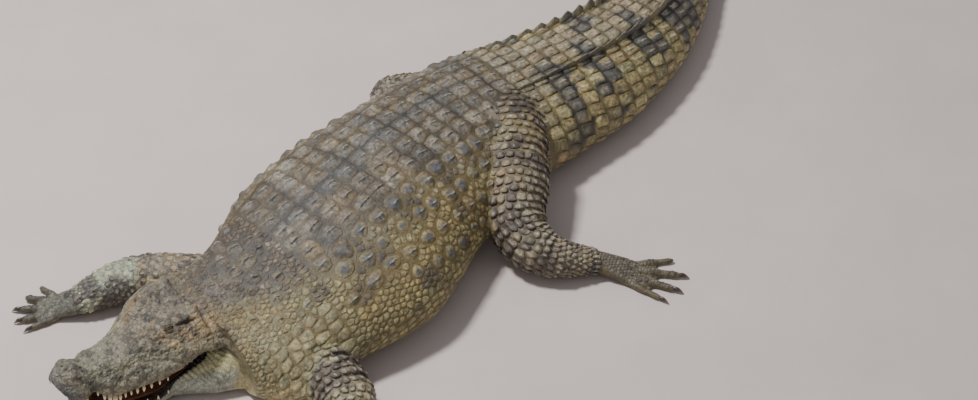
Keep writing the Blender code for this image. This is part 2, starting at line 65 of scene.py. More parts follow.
# s, half width, top, height of the widest place, slump toward the left
bodyRows = (
    (0.40, 0.180, 0.230, 0.110, 0.000),
    (0.50, 0.232, 0.245, 0.112, 0.080),
    (0.60, 0.282, 0.265, 0.115, 0.175),
    (0.70, 0.314, 0.290, 0.120, 0.190),
    (0.82, 0.344, 0.318, 0.130, 0.135),
    (0.96, 0.396, 0.352, 0.140, 0.115),
    (1.10, 0.415, 0.382, 0.148, 0.120),
    (1.25, 0.396, 0.400, 0.150, 0.104),
    (1.42, 0.364, 0.405, 0.150, 0.092),
    (1.60, 0.334, 0.398, 0.150, 0.092),
    (1.78, 0.320, 0.380, 0.150, 0.078),
    (1.94, 0.312, 0.358, 0.150, 0.066),
    (2.12, 0.292, 0.332, 0.145, 0.062),
    (2.40, 0.262, 0.305, 0.135, 0.064),
    (2.70, 0.232, 0.280, 0.120, 0.022),
    (3.00, 0.172, 0.245, 0.100, 0.011),
    (3.30, 0.112, 0.200, 0.080, 0.008),
    (3.60, 0.064, 0.146, 0.060, 0.000),
    (3.85, 0.036, 0.094, 0.040, 0.000),
    (4.00, 0.012, 0.040, 0.018, 0.000),
)

crestRows = (
    (1.90, 0.006), (2.20, 0.020), (2.60, 0.040), (3.10, 0.054), (3.60, 0.056), (3.90, 0.040), (4.00, 0.020),
)

# u, jaw edge half width, plate half width, centre top, plate edge, jaw edge, palate
headRows = (
    (0.000, 0.028, 0.014, 0.180, 0.178, 0.156, 0.156),
    (0.010, 0.054, 0.028, 0.196, 0.193, 0.136, 0.150),
    (0.030, 0.074, 0.042, 0.212, 0.208, 0.122, 0.152),
    (0.058, 0.080, 0.045, 0.214, 0.209, 0.116, 0.154),
    (0.082, 0.076, 0.040, 0.206, 0.201, 0.122, 0.156),
    (0.100, 0.072, 0.037, 0.200, 0.196, 0.128, 0.156),
    (0.128, 0.094, 0.038, 0.199, 0.197, 0.112, 0.154),
    (0.165, 0.108, 0.040, 0.202, 0.201, 0.100, 0.153),
    (0.205, 0.114, 0.042, 0.205, 0.204, 0.098, 0.152),
    (0.250, 0.122, 0.047, 0.211, 0.211, 0.100, 0.151),
    (0.295, 0.139, 0.057, 0.221, 0.224, 0.106, 0.150),
    (0.330, 0.154, 0.069, 0.236, 0.247, 0.114, 0.149),
    (0.365, 0.168, 0.076, 0.246, 0.268, 0.126, 0.150),
    (0.400, 0.176, 0.082, 0.253, 0.271, 0.142, 0.153),
    (0.435, 0.181, 0.087, 0.259, 0.270, 0.160, 0.157),
    (0.470, 0.185, 0.091, 0.262, 0.271, 0.163, 0.158),
    (0.503, 0.190, 0.093, 0.263, 0.271, 0.158, 0.157),
    (0.512, 0.191, 0.086, 0.253, 0.253, 0.156, 0.156),
    (0.535, 0.193, 0.089, 0.252, 0.250, 0.155, 0.155),
    (0.560, 0.194, 0.098, 0.256, 0.253, 0.155, 0.156),
)

# u, half width, rim height, rim width, mouth floor
jawRows = (
    (0.030, 0.018, 0.034, 0.014, 0.028),
    (0.042, 0.040, 0.042, 0.022, 0.032),
    (0.075, 0.056, 0.044, 0.022, 0.026),
    (0.120, 0.066, 0.038, 0.020, 0.020),
    (0.200, 0.086, 0.038, 0.020, 0.020),
    (0.280, 0.116, 0.042, 0.021, 0.022),
    (0.325, 0.136, 0.054, 0.022, 0.026),
    (0.355, 0.148, 0.088, 0.024, 0.036),
    (0.385, 0.158, 0.104, 0.026, 0.044),
    (0.430, 0.172, 0.118, 0.030, 0.060),
    (0.475, 0.181, 0.134, 0.036, 0.098),
    (0.505, 0.184, 0.149, 0.080, 0.149),
    (0.560, 0.190, 0.154, 0.080, 0.154),
)


def toLinear(hexText):
    values = [int(hexText[k:k + 2], 16) / 255 for k in (1, 3, 5)]
    return tuple(v / 12.92 if v <= 0.04045 else ((v + 0.055) / 1.055) ** 2.4 for v in values) + (1.0,)


def rowCurve(rows, place):
    # smooth curve through table rows
    table = np.array(rows, float)
    x = table[:, 0]
    place = np.clip(np.asarray(place, float), x[0], x[-1])
    low = np.clip(np.searchsorted(x, place, side="right") - 1, 0, len(x) - 2)
    before = np.maximum(low - 1, 0)
    after = np.minimum(low + 2, len(x) - 1)
    span = x[low + 1] - x[low]
    t = ((place - x[low]) / span)[..., None]
    slopeA = (table[low + 1] - table[before]) / (x[low + 1] - x[before])[..., None]
    slopeB = (table[after] - table[low]) / (x[after] - x[low])[..., None]
    span = span[..., None]
    out = ((2 * t ** 3 - 3 * t ** 2 + 1) * table[low] + (t ** 3 - 2 * t ** 2 + t) * span * slopeA
           + (3 * t ** 2 - 2 * t ** 3) * table[low + 1] + (t ** 3 - t ** 2) * span * slopeB)
    return out[..., 1:]


def ramp(low, high, value):
    t = np.clip((np.asarray(value, float) - low) / (high - low), 0, 1)
    return t * t * (3 - 2 * t)


def bell(value, centre, width):
    return np.exp(-((np.asarray(value, float) - centre) / width) ** 2)


def makeSpine():
    step = 0.005
    count = int(round(body["length"] / step))
    angle = np.radians(rowCurve(headingRows, np.arange(count + 1) * step)[:, 0])
    x = body["snoutTip"][0] + np.concatenate(([0], np.cumsum(np.cos(angle[:-1]) * step)))
    y = body["snoutTip"][1] + np.concatenate(([0], np.cumsum(np.sin(angle[:-1]) * step)))
    return np.arange(count + 1) * step, x, y, angle


spineS, spineX, spineY, spineAngle = makeSpine()


def spineAt(s):
    return np.interp(s, spineS, spineX), np.interp(s, spineS, spineY), np.interp(s, spineS, spineAngle)


def fromSpine(s, v, z):
    # station, sideways, height -> point
    x, y, angle = spineAt(s)
    return np.stack((x - np.sin(angle) * v, y + np.cos(angle) * v, z + 0 * x), axis=-1)


def toSpine(points):
    # point -> station and sideways distance
    s = np.clip(points[:, 0] - body["snoutTip"][0], 0, body["length"])
    for turn in range(12):
        x, y, angle = spineAt(s)
        dx, dy = points[:, 0] - x, points[:, 1] - y
        s = np.clip(s + (dx * np.cos(angle) + dy * np.sin(angle)) * 0.9, -0.02, body["length"] + 0.01)
    x, y, angle = spineAt(s)
    dx, dy = points[:, 0] - x, points[:, 1] - y
    return s, -dx * np.sin(angle) + dy * np.cos(angle)


def fullTurn(count):
    return np.linspace(0, 2 * math.pi, count, endpoint=False)


def power(value, exponent):
    return np.sign(value) * np.abs(value) ** exponent


def bodySurface(s, angle):
    # angle 0 is the right side, a quarter turn is the top
    half, top, wide, slump = np.moveaxis(rowCurve(bodyRows, s), -1, 0)
    rise = np.sin(angle)
    v = half * power(np.cos(angle), 0.93)
    upper = wide + (top - wide) * power(np.maximum(rise, 0), 0.97)
    lower = wide - wide * 1.06 * np.abs(power(np.minimum(rise, 0), 0.80))
    z = np.maximum(np.where(rise >= 0, upper, lower), 0)
    return fromSpine(s, v - slump * (1 - (z / top) ** 3), z)


def makeGirth():
    # length round the body from the middle of the back, for every station and turn
    stations = np.linspace(0.40, 3.995, 420)
    turns = np.linspace(0, math.pi, 161)
    arcs = []
    for side in (1, -1):
        s, turn = np.meshgrid(stations, turns, indexing="ij")
        grid = bodySurface(s, math.pi / 2 - side * turn)
        steps = np.linalg.norm(np.diff(grid, axis=1), axis=2)
        arcs.append(np.concatenate((np.zeros((len(stations), 1)), np.cumsum(steps, axis=1)), axis=1))
    shares = np.linspace(0, 1, 161)
    back = [np.array([np.interp(shares * row[-1], row, turns) for row in arc]) for arc in arcs]
    return stations, arcs, back


girthStations, girthArcs, girthBack = makeGirth()


def gridValue(table, s, share):
    pitch = girthStations[1] - girthStations[0]
    row = np.clip((s - girthStations[0]) / pitch, 0, len(girthStations) - 1.001)
    col = np.clip(share, 0, 1) * (table.shape[1] - 1.001)
    r, c = row.astype(int), col.astype(int)
    fr, fc = row - r, col - c
    return ((table[r, c] * (1 - fr) + table[r + 1, c] * fr) * (1 - fc)
            + (table[r, c + 1] * (1 - fr) + table[r + 1, c + 1] * fr) * fc)


def halfGirth(s, side):
    return np.interp(s, girthStations, girthArcs[0 if side > 0 else 1][:, -1])


def bodyAngle(s, y):
    right = math.pi / 2 - gridValue(girthBack[0], s, y / halfGirth(s, 1))
    left = math.pi / 2 + gridValue(girthBack[1], s, -y / halfGirth(s, -1))
    return np.where(y >= 0, right, left)


def bodyMap(s, y):
    # unrolled place on the body -> point and outward direction
    angle = bodyAngle(s, y)
    point = bodySurface(s, angle)
    along = bodySurface(s + 0.004, angle) - bodySurface(s - 0.004, angle)
    across = bodySurface(s, angle + 0.012) - bodySurface(s, angle - 0.012)
    normal = np.cross(across, along)
    return point, normal / np.maximum(np.linalg.norm(normal, axis=-1, keepdims=True), 1e-9)


def bodyPlace(points):
    # point near the body -> station and distance round it
    s, v = toSpine(points)
    half, top, wide, slump = np.moveaxis(rowCurve(bodyRows, s), -1, 0)
    z = points[:, 2]
    v = v + slump * (1 - np.clip(z / top, 0, 1) ** 3)
    rise = np.where(z >= wide, (z - wide) / (top - wide), (z - wide) / (1.06 * wide))
    rise = power(rise, np.where(z >= wide, 1 / 0.97, 1 / 0.80))
    turn = math.pi / 2 - np.arctan2(rise, power(v / half, 1 / 0.93))
    turn = np.where(turn > math.pi, turn - 2 * math.pi, turn)
    right = gridValue(girthArcs[0], s, turn / math.pi)
    left = -gridValue(girthArcs[1], s, -turn / math.pi)
    return s, np.where(turn >= 0, right, left)


# limbs: centre line points, then the radii across and up
limbs = {
    "foreRight": {
        "rows": (((-0.600, 0.010, 0.125), 0.090, 0.092), ((-0.655, 0.130, 0.116), 0.092, 0.092),
                 ((-0.715, 0.250, 0.104), 0.088, 0.086), ((-0.780, 0.372, 0.086), 0.082, 0.078),
                 ((-0.868, 0.440, 0.072), 0.075, 0.069), ((-0.940, 0.468, 0.060), 0.063, 0.057),
                 ((-0.985, 0.494, 0.049), 0.057, 0.045)),
        "heading": 133.0, "flip": -1, "foot": "fore", "relief": 0.055},
    "foreLeft": {
        "rows": (((-0.620, -0.160, 0.120), 0.098, 0.095), ((-0.672, -0.320, 0.108), 0.098, 0.092),
                 ((-0.715, -0.440, 0.098), 0.098, 0.090), ((-0.752, -0.560, 0.090), 0.092, 0.084),
                 ((-0.825, -0.650, 0.074), 0.076, 0.069), ((-0.905, -0.720, 0.056), 0.058, 0.052),
                 ((-0.940, -0.750, 0.048), 0.055, 0.044)),
        "heading": 218.0, "flip": 1, "foot": "fore", "relief": 0.095},
    "hindLeft": {
        "rows": (((0.610, -0.070, 0.215), 0.120, 0.110), ((0.500, -0.205, 0.235), 0.126, 0.112),
                 ((0.345, -0.350, 0.205), 0.122, 0.112), ((0.200, -0.485, 0.130), 0.103, 0.100),
                 ((0.195, -0.620, 0.088), 0.078, 0.076), ((0.270, -0.710, 0.060), 0.058, 0.054),
                 ((0.315, -0.745, 0.046), 0.052, 0.042)),
        "heading": -65.0, "flip": 1, "foot": "hind", "relief": 0.110},
    "hindRight": {
        "rows": (((0.640, -0.010, 0.180), 0.112, 0.110), ((0.550, 0.120, 0.165), 0.108, 0.108),
                 ((0.475, 0.240, 0.140), 0.096, 0.098), ((0.458, 0.340, 0.108), 0.076, 0.080),
                 ((0.520, 0.405, 0.080), 0.060, 0.062), ((0.615, 0.395, 0.058), 0.050, 0.050),
                 ((0.680, 0.360, 0.045), 0.046, 0.038)),
        "heading": -10.0, "flip": -1, "foot": "hind", "relief": 0.110},
}

feet = {
    "fore": {"palm": 0.090, "half": 0.056, "thick": 0.044, "radius": 0.0175,
             "angles": (-29.0, -13.0, 1.0, 16.0, 40.0), "lengths": (0.078, 0.104, 0.114, 0.104, 0.080),
             "spread": (-0.040, -0.022, 0.0, 0.022, 0.042), "claw": 0.026, "node": "hand"},
    "hind": {"palm": 0.150, "half": 0.058, "thick": 0.044, "radius": 0.0175,
             "angles": (-20.0, -7.0, 7.0, 24.0), "lengths": (0.115, 0.145, 0.150, 0.125),
             "spread": (-0.038, -0.013, 0.014, 0.040), "claw": 0.032, "node": "foot"},
}


def unit(vector):
    return vector / np.maximum(np.linalg.norm(vector, axis=-1, keepdims=True), 1e-9)


def limbFrame(limb, t):
    # centre, across, up, radii at share t of the limb
    rows = limbs[limb]["rows"]
    table = [(k / (len(rows) - 1), *row[0], row[1], row[2]) for k, row in enumerate(rows)]
    t = np.asarray(t, float)
    here = rowCurve(table, t)
    ahead, behind = rowCurve(table, np.minimum(t + 0.1, 1)), rowCurve(table, np.maximum(t - 0.1, 0))
    axis = unit(ahead[..., :3] - behind[..., :3])
    across = unit(np.cross(axis, np.array((0.0, 0.0, 1.0))))
    return here[..., :3], across, unit(np.cross(across, axis)), here[..., 3], here[..., 4], axis


def limbSurface(limb, t, angle, inset=0.0):
    centre, across, up, wide, tall, axis = limbFrame(limb, t)
    return (centre + across * ((wide - inset) * np.cos(angle))[..., None]
            + up * ((tall - inset) * np.sin(angle))[..., None])


def digitLines(limb):
    # start, direction and reach of each digit of a foot
    style = feet[limbs[limb]["foot"]]
    centre = limbFrame(limb, 1.0)[0]
    angle = math.radians(limbs[limb]["heading"])
    forward = np.array((math.cos(angle), math.sin(angle), 0.0))
    side = np.array((-forward[1], forward[0], 0.0)) * limbs[limb]["flip"]
    root = np.array((centre[0], centre[1], 0.0)) + forward * style["palm"] * 0.72
    lines = []
    last = len(style["angles"]) - 1
    for index, (turn, length, aside) in enumerate(zip(style["angles"], style["lengths"], style["spread"])):
        way = math.radians(turn)
        out = forward * math.cos(way) + side * math.sin(way)
        radius = style["radius"] * (0.85 if index in (0, last) else 1.0)
        lines.append((root + side * aside, out, style["palm"] * 0.28 + length, radius))
    return lines, forward, side, centre


# the hide: one closed skin made from overlapping tubes, melted together and relaxed

def roundedRing(pairs, passes=2):
    # cut the corners of a closed outline
    pairs = np.array(pairs, float)
    for turn in range(passes):
        ahead = np.roll(pairs, -1, axis=0)
        cut = np.stack((pairs * 0.8 + ahead * 0.2, pairs * 0.2 + ahead * 0.8), axis=1)
        pairs = cut.reshape(-1, pairs.shape[1])
    return pairs


def headPairs(u, inset):
    half, plate, top, brow, edge, palate = rowCurve(headRows, u)
    half, plate, top, brow = half - inset, plate - inset * 0.5, top - inset, brow - inset
    right = [(plate * 0.55, (top + brow) / 2), (plate, brow),
             (plate + (half - plate) * 0.45, brow + (edge - brow) * 0.30),
             (plate + (half - plate) * 0.90, brow + (edge - brow) * 0.62),
             (half, edge + (brow - edge) * 0.12), (half * 0.95, edge),
             (half * 0.74, edge + (palate - edge) * 0.75), (half * 0.36, palate)]
    return [(0.0, top)] + right + [(0.0, palate)] + [(-v, z) for v, z in reversed(right)]


def jawPairs(u, inset):
    half, rim, width, floor = rowCurve(jawRows, u)
    half = half - inset
    inner = max(half - width, half * 0.3)
    right = [(half * 0.62, 0.003), (half * 0.88, max(rim * 0.16, 0.004)), (half, rim * 0.62),
             (half * 0.97, rim), (inner + (half - inner) * 0.25, rim), (inner * 0.82, floor)]
    # loose throat hanging out over the floor on the left
    jowl = float(rowCurve(head["jowl"], u)[0])
    left = [(-v - jowl * (1 - (z / rim) ** 2) * (z < rim), z) for v, z in reversed(right)]
    return [(0.0, 0.003)] + right + [(0.0, floor)] + left


def headLean(u):
    return rowCurve(head["lean"], u)[..., 0]


def headLift(u):
    # lift and tilt of the upper head about the jaw hinge
    ahead = np.maximum(head["hinge"] - u, 0)
    inner = np.minimum(ahead, head["hingeBlend"])
    lift = head["pitch"] * (inner ** 2 / (2 * head["hingeBlend"]) + np.maximum(ahead - head["hingeBlend"], 0))
    return lift, head["pitch"] * inner / head["hingeBlend"]


def headPoint(u, v, z):
    # head coordinates -> place on the lifted upper head
    u, v, z = np.broadcast_arrays(np.asarray(u, float), v, z)
    lift, tilt = headLift(u)
    return fromSpine(u + (z - head["level"]) * tilt, v - headLean(u), z + lift)


def headPlace(points):
    # place -> head coordinates before the lift
    s, v = toSpine(points)
    u, z = s.copy(), points[:, 2].copy()
    for turn in range(6):
        lift, tilt = headLift(u)
        z = points[:, 2] - lift
        u = s - (z - head["level"]) * tilt
    return u, v + headLean(u), z


def spineRing(s, pairs, lifted):
    pairs = np.array(pairs)
    if lifted:
        return headPoint(s, pairs[:, 0], pairs[:, 1])
    return fromSpine(np.full(len(pairs), s), pairs[:, 0] - headLean(s), pairs[:, 1])


class Shell:
    # gathers closed tubes into one list of corners and faces
    def __init__(self):
        self.points, self.faces, self.count = [], [], 0

    def tube(self, rings):
        rings = np.array(rings)
        layers, n = rings.shape[:2]
        start = self.count
        self.points.append(rings.reshape(-1, 3))
        self.count += layers * n
        for k in range(layers - 1):
            for j in range(n):
                a, b = start + k * n + j, start + k * n + (j + 1) % n
                self.faces.append((a, b, b + n, a + n))
        self.faces.append(tuple(range(start + n - 1, start - 1, -1)))
        self.faces.append(tuple(range(start + (layers - 1) * n, start + layers * n)))

    def mesh(self, name):
        data = bpy.data.meshes.new(name)
        data.from_pydata(np.concatenate(self.points).tolist(), [], self.faces)
        data.update()
        return data


def addObject(name, data):
    item = bpy.data.objects.new(name, data)
    bpy.context.scene.collection.objects.link(item)
    return item


skin = {
    "headInset": 0.00084,     # how far inside the solids the skin lies: head, trunk, limbs and feet, digits
    "inset": 0.0028,
    "limbInset": 0.002,
    "digitInset": 0.0012,
    "floor": 0.003,           # lowest the tubes reach
    "bodySides": 96,
    "limbSides": 40,
}


def aboveFloor(ring):
    return np.concatenate((ring[..., :2], np.maximum(ring[..., 2:], skin["floor"])), axis=-1)


def hideTubes():
    shell = Shell()
    inset = skin["headInset"]
    shell.tube([spineRing(u, roundedRing(headPairs(u, inset)), True) for u in np.arange(0.0, 0.601, 0.006)])
    shell.tube([spineRing(u, roundedRing(jawPairs(u, inset)), False) for u in np.arange(0.031, 0.60, 0.006)])
    sides = skin["bodySides"]
    rings = []
    for s in np.concatenate((np.arange(0.545, 3.96, 0.02), [3.975, 3.99])):
        ring = bodySurface(np.full(sides, s), fullTurn(sides))
        inset = min(skin["inset"], 0.2 * ring[:, 2].max())
        rings.append(aboveFloor(ring - unit(ring - ring.mean(axis=0)) * inset))
    shell.tube(rings)
    sides = skin["limbSides"]
    turns = fullTurn(sides)
    for limb in limbs:
        shell.tube([aboveFloor(limbSurface(limb, np.full(sides, t), turns, skin["limbInset"]))
                    for t in np.linspace(0, 1.0, 40)])
        footTubes(shell, limb, turns)
    return shell.mesh("hide")


def footTubes(shell, limb, turns):
    spec = limbs[limb]
    style = feet[spec["foot"]]
    inset, low = skin["limbInset"], skin["floor"]
    lines, forward, side, centre = digitLines(limb)
    across, up, wide, tall = limbFrame(limb, 1.0)[1:5]
    toward = side if across @ side > 0 else -side
    rings = [limbSurface(limb, np.full(len(turns), 0.97), turns, inset)]
    # palm: share of its length, and how much of its thickness and width is left there
    for share, flat, narrow in ((0.12, 1.0, 1.0), (0.30, 1.0, 1.0), (0.62, 1.0, 1.0), (0.85, 0.90, 1.0),
                                (1.0, 0.74, 1.0), (1.06, 0.74, 0.86)):
        reach = min(share, 1.0)
        middle = np.array((centre[0], centre[1], 0.0)) + forward * style["palm"] * share
        half = (wide + (style["half"] - wide) * reach - inset) * narrow
        thick = (tall * 2 + (style["thick"] - tall * 2) * reach) * flat
        sideways = unit(across + (toward - across) * min(share * 1.6, 1.0))
        ring = middle + sideways * (half * np.cos(turns))[:, None]
        ring[:, 2] = np.maximum(thick * 0.5 + (thick * 0.5 - inset) * np.sin(turns), low)
        rings.append(ring)
    shell.tube(rings)
    for start, out, reach, radius in lines:
        cross = np.array((-out[1], out[0], 0.0))
        rings = []
        for share in np.linspace(0, 1.0, 22):
            # knuckles swell a little along the digit
            size = np.interp(share, (0, 0.45, 0.9, 1.0), (1.0, 0.98, 0.78, 0.5))
            size = radius * size * (1 + 0.07 * math.cos(share * 2 * math.pi * 2.2)) - skin["digitInset"]
            level = radius * (0.55 + 0.35 * np.interp(share, (0.45, 0.9, 1.0), (1.0, 0.8, 0.7)))
            ring = start + out * reach * share + cross * (size * np.cos(turns))[:, None]
            ring[:, 2] = np.maximum(level + size * np.sin(turns), low)
            rings.append(ring)
        shell.tube(rings)
    # webs between the digits
    count = len(lines) - (2 if spec["foot"] == "fore" else 1)
    for a, b in zip(lines[:count], lines[1:count + 1]):
        rings = []
        for share in np.linspace(0.05, 0.62, 8):
            p, q = a[0] + a[1] * a[2] * share, b[0] + b[1] * b[2] * share
            top = 0.008 + 0.008 * max(1 - (share / 0.62) ** 2, 0.05)
            rings.append([(p[0], p[1], low), (q[0], q[1], low), (q[0], q[1], top), (p[0], p[1], top)])
        shell.tube(rings)


def noise(points, size, seed):
    # smooth noise from 0 to 1 with cells of the given size
    q = np.asarray(points, float) / size
    cell = np.floor(q).astype(np.int64)
    f = q - cell
    f = f * f * (3 - 2 * f)
    near = (1 - f, f)
    out = np.zeros(len(q))
    for dx, dy, dz in np.ndindex(2, 2, 2):
        # a scrambled whole number for each corner of the cell
        h = seed * 362437 + (((cell[:, 0] + dx) * 73856093) ^ ((cell[:, 1] + dy) * 19349663)
                             ^ ((cell[:, 2] + dz) * 83492791))
        h &= 0xffffffff
        for shift, factor in ((15, 2246822519), (13, 3266489917)):
            h = ((h ^ (h >> shift)) * factor) & 0xffffffff
        value = ((h ^ (h >> 16)) & 0xffff) / 65535
        out += value * (near[dx][:, 0] * near[dy][:, 1] * near[dz][:, 2])
    return out


def layeredNoise(points, size, seed):
    return (noise(points, size, seed) * 0.55 + noise(points, size * 0.47, seed + 1) * 0.29
            + noise(points, size * 0.22, seed + 2) * 0.16)


def meshArrays(data):
    points = np.empty(len(data.vertices) * 3)
    data.vertices.foreach_get("co", points)
    edges = np.empty(len(data.edges) * 2, np.int64)
    data.edges.foreach_get("vertices", edges)
    return points.reshape(-1, 3), edges.reshape(-1, 2)


def meshNormals(data):
    normals = np.empty(len(data.vertices) * 3)
    data.vertex_normals.foreach_get("vector", normals)
    return normals.reshape(-1, 3)


def setPoints(data, points):
    data.vertices.foreach_set("co", np.ascontiguousarray(points, float).ravel())
    data.update()


def relax(points, edges, weight, rounds):
    n = len(points)
    a, b = edges[:, 0], edges[:, 1]
    count = np.maximum(np.bincount(edges.ravel(), minlength=n), 1)[:, None]
    weight = np.broadcast_to(weight, n)[:, None]
    for turn in range(rounds):
        total = [np.bincount(a, points[b, k], n) + np.bincount(b, points[a, k], n) for k in range(3)]
        points = points + (np.stack(total, axis=1) / count - points) * weight
    return points


def limbDistance(points, limb):
    # distance from the limb's surface, and the share along it
    best, where = np.full(len(points), 9.0), np.zeros(len(points))
    for t in np.linspace(0, 1, 34):
        centre, across, up, wide, tall, axis = limbFrame(limb, t)
        gap = np.linalg.norm(points - centre, axis=1) - (wide + tall) / 2
        closer = gap < best
        best[closer], where[closer] = gap[closer], t
    return best, where


def footDistance(points, limb):
    # distance from the middle of the hand or foot's digits and palm
    lines, forward, side, centre = digitLines(limb)
    flat = points[:, :2]
    best = np.full(len(points), 9.0)
    for start, out, reach, radius in lines:
        along = np.clip((flat - start[:2]) @ out[:2], -0.11, reach)
        best = np.minimum(best, np.linalg.norm(flat - start[:2] - along[:, None] * out[:2], axis=1) - radius)
    return best


def refine(data, inside):
    # split every face whose corners all lie in the region
    mesh = bmesh.new()
    mesh.from_mesh(data)
    mesh.verts.ensure_lookup_table()
    chosen = inside(np.array([v.co for v in mesh.verts]))
    edges = [e for e in mesh.edges if chosen[e.verts[0].index] and chosen[e.verts[1].index]]
    bmesh.ops.subdivide_edges(mesh, edges=edges, cuts=1, use_grid_fill=True)
    mesh.to_mesh(data)
    mesh.free()


head = {
    "pitch": 0.140, "hinge": 0.535, "hingeBlend": 0.08, "level": 0.15,
    "lean": ((0.0, 0.040), (0.25, 0.030), (0.40, 0.010), (0.56, 0.0)),
    "jowl": ((0.340, 0.0), (0.400, 0.030), (0.460, 0.075), (0.560, 0.130)),
    "eyeAlong": 0.380, "eyeAside": 0.081, "eyeHeight": 0.251, "eyeRadius": 0.0165,
    "lidThickness": 0.0026,
    "openLength": 0.0185,     # half the slit between the lids
    "openHeight": 0.0064,
    # place along the jaw and height of each tooth
    "upperTeeth": (
        (0.016, 0.014), (0.034, 0.018), (0.052, 0.024), (0.070, 0.018), (0.110, 0.012), (0.126, 0.018),
        (0.142, 0.024), (0.158, 0.029), (0.174, 0.020), (0.192, 0.014), (0.212, 0.013), (0.234, 0.017),
        (0.256, 0.019), (0.280, 0.016), (0.306, 0.013), (0.332, 0.010)),
    "lowerTeeth": (
        (0.046, 0.020), (0.062, 0.014), (0.078, 0.014), (0.098, 0.028), (0.124, 0.013), (0.148, 0.012),
        (0.172, 0.012), (0.200, 0.014), (0.230, 0.017), (0.262, 0.018), (0.296, 0.014), (0.330, 0.011)),
}


def eyeFrame(hand):
    # centre, forward, outward and up directions of one eye
    x, y, angle = spineAt(head["eyeAlong"])
    centre = headPoint(head["eyeAlong"], hand * head["eyeAside"], head["eyeHeight"])
    ahead = unit(np.array((-math.cos(angle), -math.sin(angle), head["pitch"])))
    aside = np.array((-math.sin(angle), math.cos(angle), 0.0)) * hand
    outward = unit(aside * 0.80 + np.array((0, 0, 0.60)) + ahead * 0.12)
    forward = unit(ahead - outward * (ahead @ outward))
    up = np.cross(outward, forward)
    return centre, forward, outward, up if up[2] > 0 else -up


# marks on top of the skull: start and end (along, out from the middle), width, height; grooves are negative
skullMarks = (
    (0.036, 0.0, 0.036, 0.0, 0.024, 0.0045),             # swelling round the nostrils
    (0.022, 0.017, 0.040, 0.010, 0.0065, 0.0030),
    (0.025, 0.0155, 0.036, 0.0095, 0.0030, -0.0095),     # nostril
    (0.345, 0.046, 0.235, 0.026, 0.0075, 0.0032),        # ridges in front of the eye
    (0.352, 0.070, 0.262, 0.056, 0.0070, 0.0034),
    (0.340, 0.058, 0.275, 0.042, 0.0060, -0.0022),
    (0.230, 0.0, 0.130, 0.0, 0.0120, 0.0026),
    (0.496, 0.082, 0.496, 0.082, 0.0140, 0.0110),        # horn at the corner of the skull table
    (0.518, 0.088, 0.518, 0.088, 0.0150, -0.0080),
    (0.446, 0.042, 0.446, 0.042, 0.0170, -0.0026),
    (0.400, 0.0, 0.490, 0.0, 0.010, 0.0014),
)


def skullLumps(points):
    # lumps and pitted ridges of the bony skin, also used to paint shade into its dips and highlight onto its
    # lumps
    return layeredNoise(points, 0.034, 13) - 0.5, 0.5 - np.abs(layeredNoise(points, 0.017, 11) * 2 - 1)


def headRelief(points, normals):
    # height added along the normal, worked out in head coordinates
    u, v, z = headPlace(points)
    a = np.abs(v)
    row = rowCurve(headRows, np.clip(u, 0, 0.56))
    plate, brow, edge = row[:, 1], row[:, 3], row[:, 4]
    facingUp = ramp(0.25, 0.75, normals[:, 2])
    onSide = (1 - ramp(0.55, 0.9, normals[:, 2])) * ramp(-0.5, 0.0, normals[:, 2]) * (z > edge - 0.006)
    upper = (z > edge - 0.004) & (u < 0.56)
    lift = np.zeros(len(points))
    for u0, a0, u1, a1, width, height in skullMarks:
        du, da = u1 - u0, a1 - a0
        t = np.clip(((u - u0) * du + (a - a0) * da) / max(du * du + da * da, 1e-9), 0, 1)
        gap = np.hypot(u - u0 - t * du, a - a0 - t * da)
        lift += height * np.exp(-(gap / width) ** 2) * facingUp
    lift -= 0.0040 * bell(np.hypot((u - 0.372) * 0.8, a), 0, 0.026) * facingUp
    tableRim = bell(a, plate * 0.90, 0.0075) * ramp(0.385, 0.42, u) * (1 - ramp(0.495, 0.51, u))
    lift += 0.0030 * tableRim * facingUp
    # ear slit below the edge of the skull table
    earLevel = brow - 0.014
    alongEar = ramp(0.398, 0.410, u) * (1 - ramp(0.462, 0.476, u)) * (a > plate * 0.8)
    lift -= 0.0100 * bell(z, earLevel, 0.0032) * alongEar
    lift += 0.0024 * bell(z, earLevel + 0.0065, 0.0035) * alongEar
    # bulges over the tooth roots and the scalloped lip
    for place, height in head["upperTeeth"]:
        lift += height * 0.11 * bell(u, place, 0.0065) * bell(z, edge + 0.010, 0.014) * onSide
        lift -= 0.0016 * bell(u, place + 0.009, 0.0030) * bell(z, edge + 0.006, 0.008) * onSide
    lift += 0.0040 * bell(np.hypot((u - 0.155) * 0.6, z - 0.150), 0, 0.020) * onSide
    # bar of the cheek, and the jaw muscle behind it
    cheekBar = bell(z, np.interp(u, (0.38, 0.50), (0.205, 0.178)), 0.010)
    lift += 0.0035 * cheekBar * ramp(0.37, 0.40, u) * (1 - ramp(0.49, 0.52, u)) * onSide
    jawMuscle = bell(z, np.interp(u, (0.30, 0.50), (0.182, 0.150)), 0.006)
    lift -= 0.0030 * jawMuscle * ramp(0.30, 0.34, u) * onSide
    # rough bony skin
    lumps, rough = skullLumps(points)
    fine = noise(points, 0.0065, 15) - 0.5
    rugged = 0.0150 * lumps + 0.0078 * rough + 0.0022 * fine
    lift += rugged * np.where(upper, 0.55 + 0.45 * facingUp, 0.25) * (1 - ramp(0.55, 0.60, u))
    return lift * (1 - ramp(0.56, 0.61, u))


